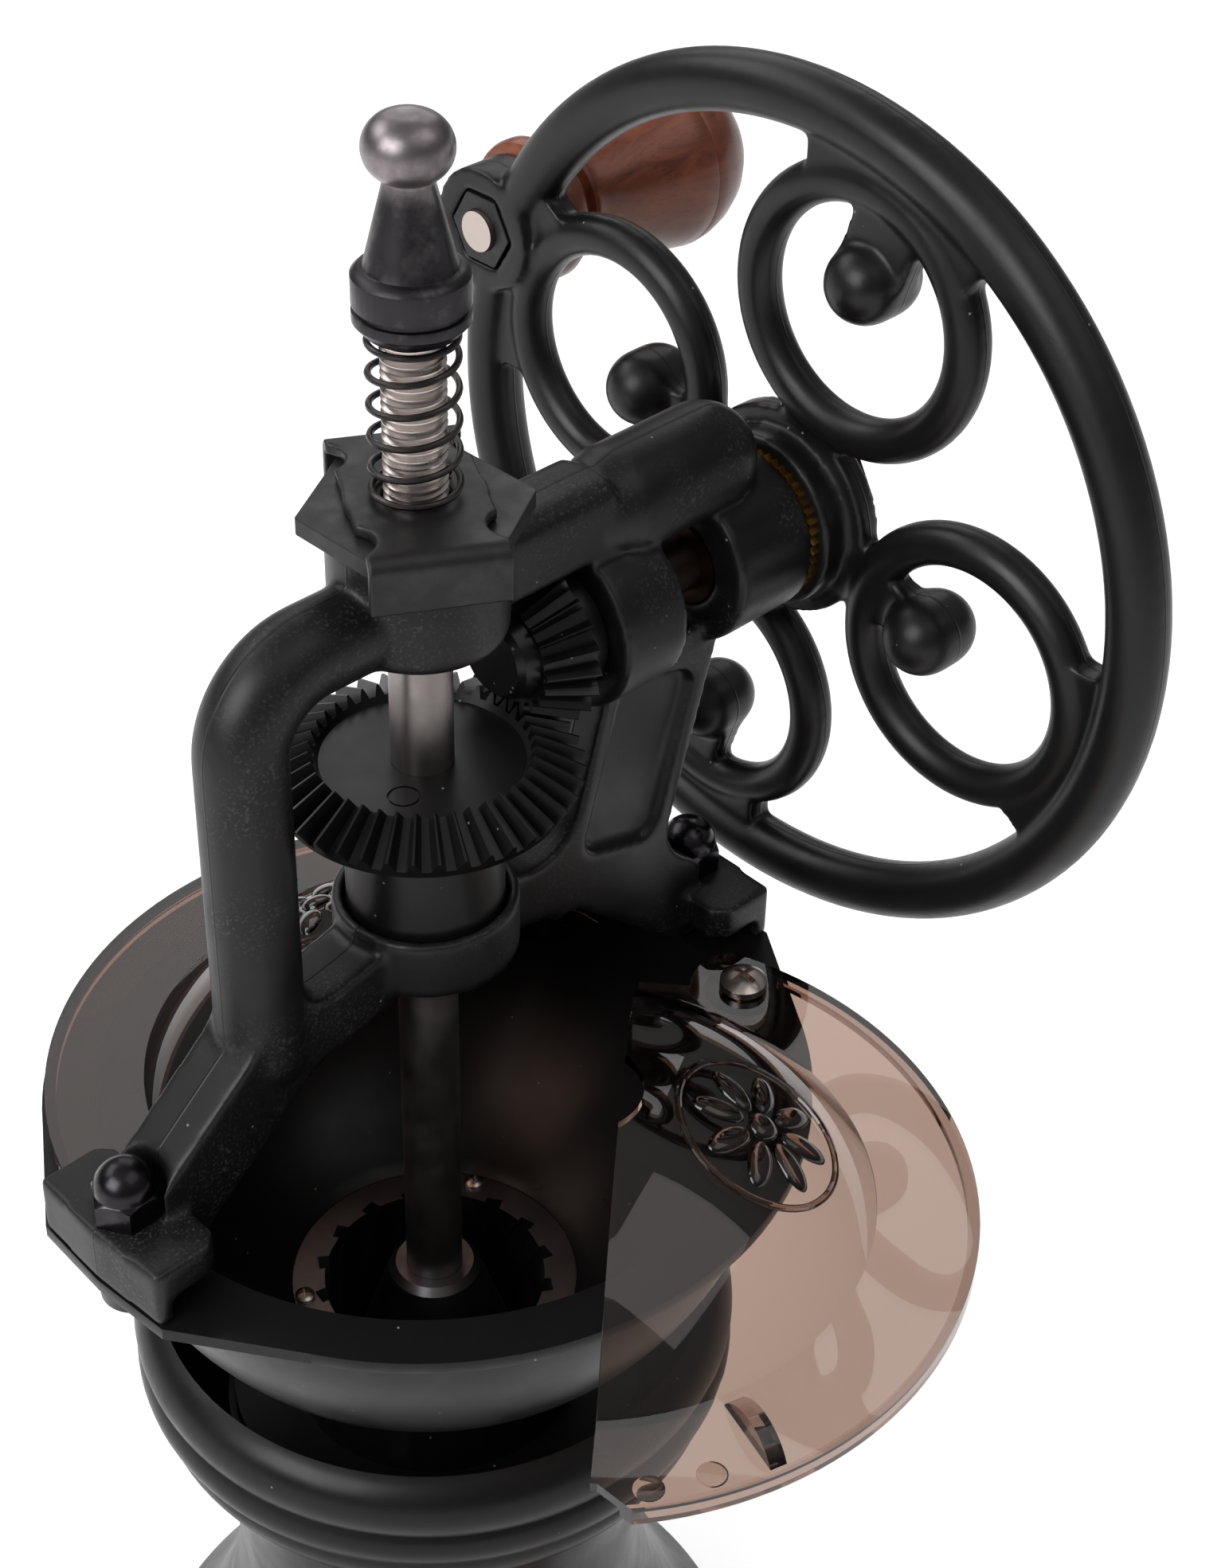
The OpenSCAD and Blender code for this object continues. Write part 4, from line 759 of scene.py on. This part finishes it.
@dataclass
class LockClip:
    """Folded lock clip and the spring that holds it down."""

    skin_mm: float = 0.24
    rounds: int = 3
    coil_r: float = 5.2
    wire_r: float = 0.42
    seat_z: float = 231.15
    top_z: float = 252.1
    dead_turns: float = 0.8
    dead_pitch: float = 2.1
    live_turns: float = 4.6
    travel_keep: float = 0.69
    facets: int = 10

    def build(self, frame: dict[str, Any]) -> None:
        """Dresses the clip and winds the spring.
        """
        dress(frame, BLACK_SHEET, "lock_clip")
        soften(frame["nodes"]["lock_clip"], self.skin_mm, self.rounds)
        bm = bmesh.new()
        low = self.seat_z + self.wire_r
        ring = [(self.coil_r + self.wire_r * math.cos(a), low + self.wire_r * math.sin(a))
                for a in (2 * math.pi * i / self.facets for i in range(self.facets))]
        dead_rise = self.dead_pitch * self.wire_r * self.dead_turns
        live_rise = self.top_z - self.seat_z - 2 * self.wire_r - 2 * dead_rise
        screw_sweep(bm, ring, [(self.dead_turns, dead_rise), (self.live_turns, live_rise),
                               (self.dead_turns, dead_rise)])
        spring = finished_piece("clip_spring_coil", bm, "spindle", SPRING_WIRE,
                                ["clip_spring"])
        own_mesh(spring)


@dataclass
class CrankWheel:
    """Scroll wheel, its axle and pinion."""

    skin_mm: float = 0.56
    rounds: int = 5
    wheel_nut_edge: float = 0.3
    knob_nut_edge: float = 0.25

    def build(self, frame: dict[str, Any]) -> None:
        """Dresses the wheel's parts.
        """
        dress(frame, WHEEL_ABS, "crank_wheel")
        dress(frame, GEAR_NYLON, "pinion")
        dress(frame, AXLE_STEEL, "wheel_axle", "wheel_washer")
        dress(frame, BLACK_NUT, "wheel_nut")
        dress(frame, BLACK_SHEET, "knob_nut")
        dress(frame, STAMPED_BRASS, "thrust_ring")
        soften(frame["nodes"]["crank_wheel"], self.skin_mm, self.rounds)
        break_edges(frame["nodes"]["wheel_nut"], self.wheel_nut_edge)
        break_edges(frame["nodes"]["knob_nut"], self.knob_nut_edge)


@dataclass
class CrankKnob:
    """Turned wooden knob on its bolt."""

    seat: tuple[float, float, float] = (70.9, 56.949, 223.861)
    outline: list[tuple[float, float]] = field(default_factory=lambda: [
        (3.06, 0.0), (9.4, 0.0), (10.2, 0.35), (10.5, 1.2), (10.5, 2.8), (10.1, 3.6), (9.0, 4.1),
        (7.6, 4.4), (6.7, 5.0), (6.4, 5.9), (6.5, 6.8), (6.9, 7.2), (7.7, 7.45), (8.0, 8.0),
        (7.7, 8.6), (7.1, 8.9), (6.95, 9.4), (7.3, 10.8), (8.2, 13.2), (9.5, 16.2), (10.9, 19.2),
        (12.2, 22.2), (13.05, 24.8), (13.4, 27.0), (13.28, 27.35), (13.42, 27.7), (13.2, 29.6),
        (12.5, 32.0), (11.2, 34.6), (9.4, 36.8), (7.6, 38.0), (6.2, 38.35), (5.5, 38.2),
        (5.2, 37.6), (5.2, 32.5), (3.06, 32.5), (3.06, 0.0)])

    def build(self, frame: dict[str, Any]) -> None:
        """Turns the knob and dresses its bolt.
        """
        dress(frame, ZINC_STEEL, "knob_bolt")
        place = (Matrix.Translation(Vector(self.seat) * MM)
                 @ Matrix.Rotation(math.radians(90), 4, "Y"))
        bm = bmesh.new()
        lathe(bm, self.outline, steps=72, place=place)
        finished_piece("crank_knob_turned", bm, "handle", KNOB_WOOD, ["crank_knob"])


@dataclass
class HalfCovers:
    """The two smoked half covers with an embossed rosette."""

    dome_r: float = 49.06
    dome_mid_z: float = 112.24
    rosette_at: float = 23.0
    petals: int = 8
    petal_at: float = 6.2
    petal_half: tuple[float, float, float] = (3.6, 1.7, 0.75)
    bud_half: tuple[float, float, float] = (2.1, 2.1, 0.9)
    ring_r: float = 11.6
    ring_tube: float = 0.5
    ring_facets: int = 10
    pivot: tuple[float, float] = (41.0, -19.8)
    open_turn: float = 41.0
    pips: tuple[tuple[float, float], ...] = ((-47.2, -11.95), (-44.5, -19.1))
    pip_half: tuple[float, float, float] = (1.9, 1.9, 0.25)
    ring_top: float = 142.9

    def build(self, frame: dict[str, Any]) -> None:
        """Dresses both covers and embosses them.
        """
        dress(frame, SMOKED_COVER, "front_cover", "rear_cover")
        pivot = Vector((self.pivot[0], self.pivot[1], 0)) * MM
        swing = (Matrix.Translation(pivot) @ Matrix.Rotation(math.radians(self.open_turn), 4, "Z")
                 @ Matrix.Translation(-pivot))
        self.rosette("front_cover_rosette", "front_lid", swing)
        self.rosette("rear_cover_rosette", "rear_lid", Matrix.Scale(-1, 4, (0, 1, 0)))
        bm = bmesh.new()
        for x, y in self.pips:
            seat = Matrix.Translation(Vector((x, y, self.ring_top)) * MM)
            dome = Matrix.Diagonal((*self.pip_half, 1))
            bmesh.ops.create_uvsphere(bm, u_segments=24, v_segments=12, radius=MM,
                                      matrix=swing @ seat @ dome)
        finished_piece("front_cover_pips", bm, "front_lid", COVER_PIPS)

    def rosette(self, name: str, body: str, place: Matrix) -> None:
        """Embosses a ringed rosette on a dome.

        Args:
            name: the piece's name.
            body: the cover's body.
            place: takes a closed front cover to the cover's place.
        """
        bm = bmesh.new()
        for i in range(self.petals):
            turn = Matrix.Rotation(2 * math.pi * i / self.petals, 4, "Z")
            out = Matrix.Translation(Vector((self.petal_at, 0, 0)) * MM)
            bmesh.ops.create_uvsphere(bm, u_segments=20, v_segments=10, radius=MM,
                                      matrix=turn @ out @ Matrix.Diagonal((*self.petal_half, 1)))
        bmesh.ops.create_uvsphere(bm, u_segments=20, v_segments=10, radius=MM,
                                  matrix=Matrix.Diagonal((*self.bud_half, 1)))
        round_it = (2 * math.pi * i / self.ring_facets for i in range(self.ring_facets + 1))
        section = [(self.ring_r + self.ring_tube * math.cos(a), self.ring_tube * math.sin(a))
                   for a in round_it]
        lathe(bm, section, steps=72)
        # The flat rosette is wrapped on the dome: distances from its middle become arcs
        tilt = math.asin(self.rosette_at / self.dome_r)
        lay = Matrix.Rotation(tilt, 4, "X")
        for vert in bm.verts:
            away = Vector((vert.co.x, vert.co.y, 0))
            arc = away.length / (self.dome_r * MM)
            side = away.normalized() if away.length > SAME_PLACE else Vector((1, 0, 0))
            ray = side * math.sin(arc) + Vector((0, 0, 1)) * math.cos(arc)
            vert.co = lay @ (ray * (self.dome_r * MM + vert.co.z))
            vert.co.z += self.dome_mid_z * MM
        bmesh.ops.transform(bm, matrix=place, verts=bm.verts)
        finished_piece(name, bm, body, SMOKED_COVER)


@dataclass
class Drawer:
    """Grounds drawer in the base."""

    def build(self, frame: dict[str, Any]) -> None:
        """Dresses the drawer's parts.
        """
        dress(frame, HOPPER_ABS, "drawer_tray", "drawer_front")
        dress(frame, DRAWER_WOOD, "drawer_knob")
        dress(frame, ZINC_STEEL, "drawer_screw")


@dataclass
class Lamp:
    """A soft box that looks at a point."""

    name: str
    at: tuple[float, float, float]
    size: tuple[float, float]
    power: float

    def build(self, look: Vector) -> None:
        """Hangs the lamp.

        Args:
            look: the point it faces.
        """
        data = bpy.data.lights.new(self.name, "AREA")
        data.shape = "RECTANGLE"
        data.size, data.size_y = self.size
        data.energy = self.power
        lamp = bpy.data.objects.new(self.name, data)
        lamp.location = self.at
        lamp.rotation_euler = (look - lamp.location).to_track_quat("-Z", "Y").to_euler()
        bpy.context.scene.collection.objects.link(lamp)


@dataclass
class Studio:
    """Pale floor, soft light and the camera."""

    middle: tuple[float, float, float] = (0.0, 0.0, 0.17)
    floor_half: float = 15.0
    floor_colour: str = "#c8c8c8"
    floor_glow: float = 0.66
    world_light: float = 0.40
    horizon_share: float = 0.2
    horizon_span: tuple[float, float] = (-0.1, 0.9)
    picture: tuple[float, float] = (1538.0, 1969.0)
    focal_px: float = 3443.7
    centre_px: tuple[float, float] = (763.5, 979.0)
    eye: tuple[float, float, float] = (-0.1805, -0.2081, 0.3959)
    azimuth: float = -45.76
    elevation: float = 36.86
    roll: float = 1.52
    sensor: float = 36.0
    clip: tuple[float, float] = (0.01, 60.0)
    lamps: list[Lamp] = field(default_factory=lambda: [
        Lamp("key_softbox", (-0.95, 0.0, 0.85), (0.8, 0.7), 13.0),
        Lamp("fill_softbox", (0.2, -0.5, 1.02), (0.8, 0.6), 1.4),
        Lamp("back_softbox", (-0.3, 0.85, 1.0), (0.9, 0.5), 4.5),
        Lamp("side_panel", (0.66, 0.66, 0.85), (0.9, 0.7), 2.4)])

    def build(self) -> None:
        """Makes floor, lights and camera."""
        scene = bpy.context.scene
        scene.view_settings.view_transform = "Standard"
        self.floor()
        self.world()
        for lamp in self.lamps:
            lamp.build(Vector(self.middle))
        self.camera()

    def seen(self, tree: bpy.types.NodeTree) -> bpy.types.NodeSocket:
        """Tells the rays that show the room from those that only light it.

        Args:
            tree: the node tree that asks.

        Returns:
            A socket that is 1 for camera, mirror and see-through rays.
        """
        path = put(tree, "ShaderNodeLightPath").outputs
        both = put(tree, "ShaderNodeMath", {0: path["Is Camera Ray"], 1: path["Is Glossy Ray"]},
                   operation="MAXIMUM")
        return put(tree, "ShaderNodeMath", {
            0: both.outputs["Value"], 1: path["Is Transmission Ray"]},
            operation="MAXIMUM").outputs["Value"]

    def floor(self) -> None:
        """Lays a white floor that keeps the object's shadow."""
        bm = bmesh.new()
        bmesh.ops.create_grid(bm, x_segments=1, y_segments=1, size=self.floor_half)
        mesh = bpy.data.meshes.new("studio_floor")
        bm.to_mesh(mesh)
        bm.free()
        floor = bpy.data.objects.new("studio_floor", mesh)
        bpy.context.scene.collection.objects.link(floor)
        paper = bpy.data.materials.new("paper_white_backdrop")
        paper.use_nodes = True
        tree = paper.node_tree
        tree.nodes.clear()
        matt = put(tree, "ShaderNodeBsdfDiffuse", {"Color": linear(self.floor_colour)})
        lift = put(tree, "ShaderNodeMath", {0: self.seen(tree), 1: self.floor_glow},
                   operation="MULTIPLY")
        glow = put(tree, "ShaderNodeEmission", {
            "Color": linear(WHITE), "Strength": lift.outputs["Value"]})
        both = put(tree, "ShaderNodeAddShader", {
            0: matt.outputs["BSDF"], 1: glow.outputs["Emission"]})
        put(tree, "ShaderNodeOutputMaterial", {"Surface": both.outputs["Shader"]})
        mesh.materials.append(paper)

    def world(self) -> None:
        """Fills the room with soft light, brighter overhead."""
        world = bpy.data.worlds.new("studio_room")
        bpy.context.scene.world = world
        world.use_nodes = True
        tree = world.node_tree
        tree.nodes.clear()
        way = put(tree, "ShaderNodeTexCoord").outputs["Generated"]
        up = put(tree, "ShaderNodeSeparateXYZ", {"Vector": way})
        height = put(tree, "ShaderNodeMapRange", {
            "Value": up.outputs["Z"], "From Min": self.horizon_span[0],
            "From Max": self.horizon_span[1], "To Min": self.horizon_share, "To Max": 1.0})
        level = put(tree, "ShaderNodeMath", {0: height.outputs["Result"], 1: self.world_light},
                    operation="MULTIPLY")
        room = put(tree, "ShaderNodeBackground", {
            "Color": linear(WHITE), "Strength": level.outputs["Value"]})
        put(tree, "ShaderNodeOutputWorld", {"Surface": room.outputs["Background"]})

    def camera(self) -> None:
        """Sets the camera at the photograph's place."""
        a, e, s = (math.radians(v) for v in (self.azimuth, self.elevation, self.roll))
        back = Vector((math.sin(a) * math.cos(e), -math.cos(a) * math.cos(e), math.sin(e)))
        right = Vector((math.cos(a), math.sin(a), 0))
        up = back.cross(right)
        rolled = (math.cos(s) * right + math.sin(s) * up,
                  math.cos(s) * up - math.sin(s) * right, back)
        data = bpy.data.cameras.new("photo_camera")
        tall = self.picture[1]
        data.sensor_fit = "VERTICAL"
        data.sensor_height = self.sensor
        data.sensor_width = self.sensor
        data.lens = self.sensor * self.focal_px / tall
        data.shift_x = (self.picture[0] / 2 - self.centre_px[0]) / tall
        data.shift_y = (self.centre_px[1] - tall / 2) / tall
        data.clip_start, data.clip_end = self.clip
        camera = bpy.data.objects.new("photo_camera", data)
        turn = Matrix(rolled).transposed().to_4x4()
        camera.matrix_world = Matrix.Translation(self.eye) @ turn
        bpy.context.scene.collection.objects.link(camera)
        bpy.context.scene.camera = camera


def main() -> None:
    """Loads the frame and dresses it."""
    logging.basicConfig(level=logging.INFO, format="%(name)s: %(message)s")
    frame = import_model()
    Studio().build()
    for part in (Stand(), Spindle(), LockClip(), CrankWheel(), CrankKnob(), HalfCovers(), Drawer()):
        part.build(frame)
    bpy.context.view_layer.update()


if __name__ == "__main__":
    main()
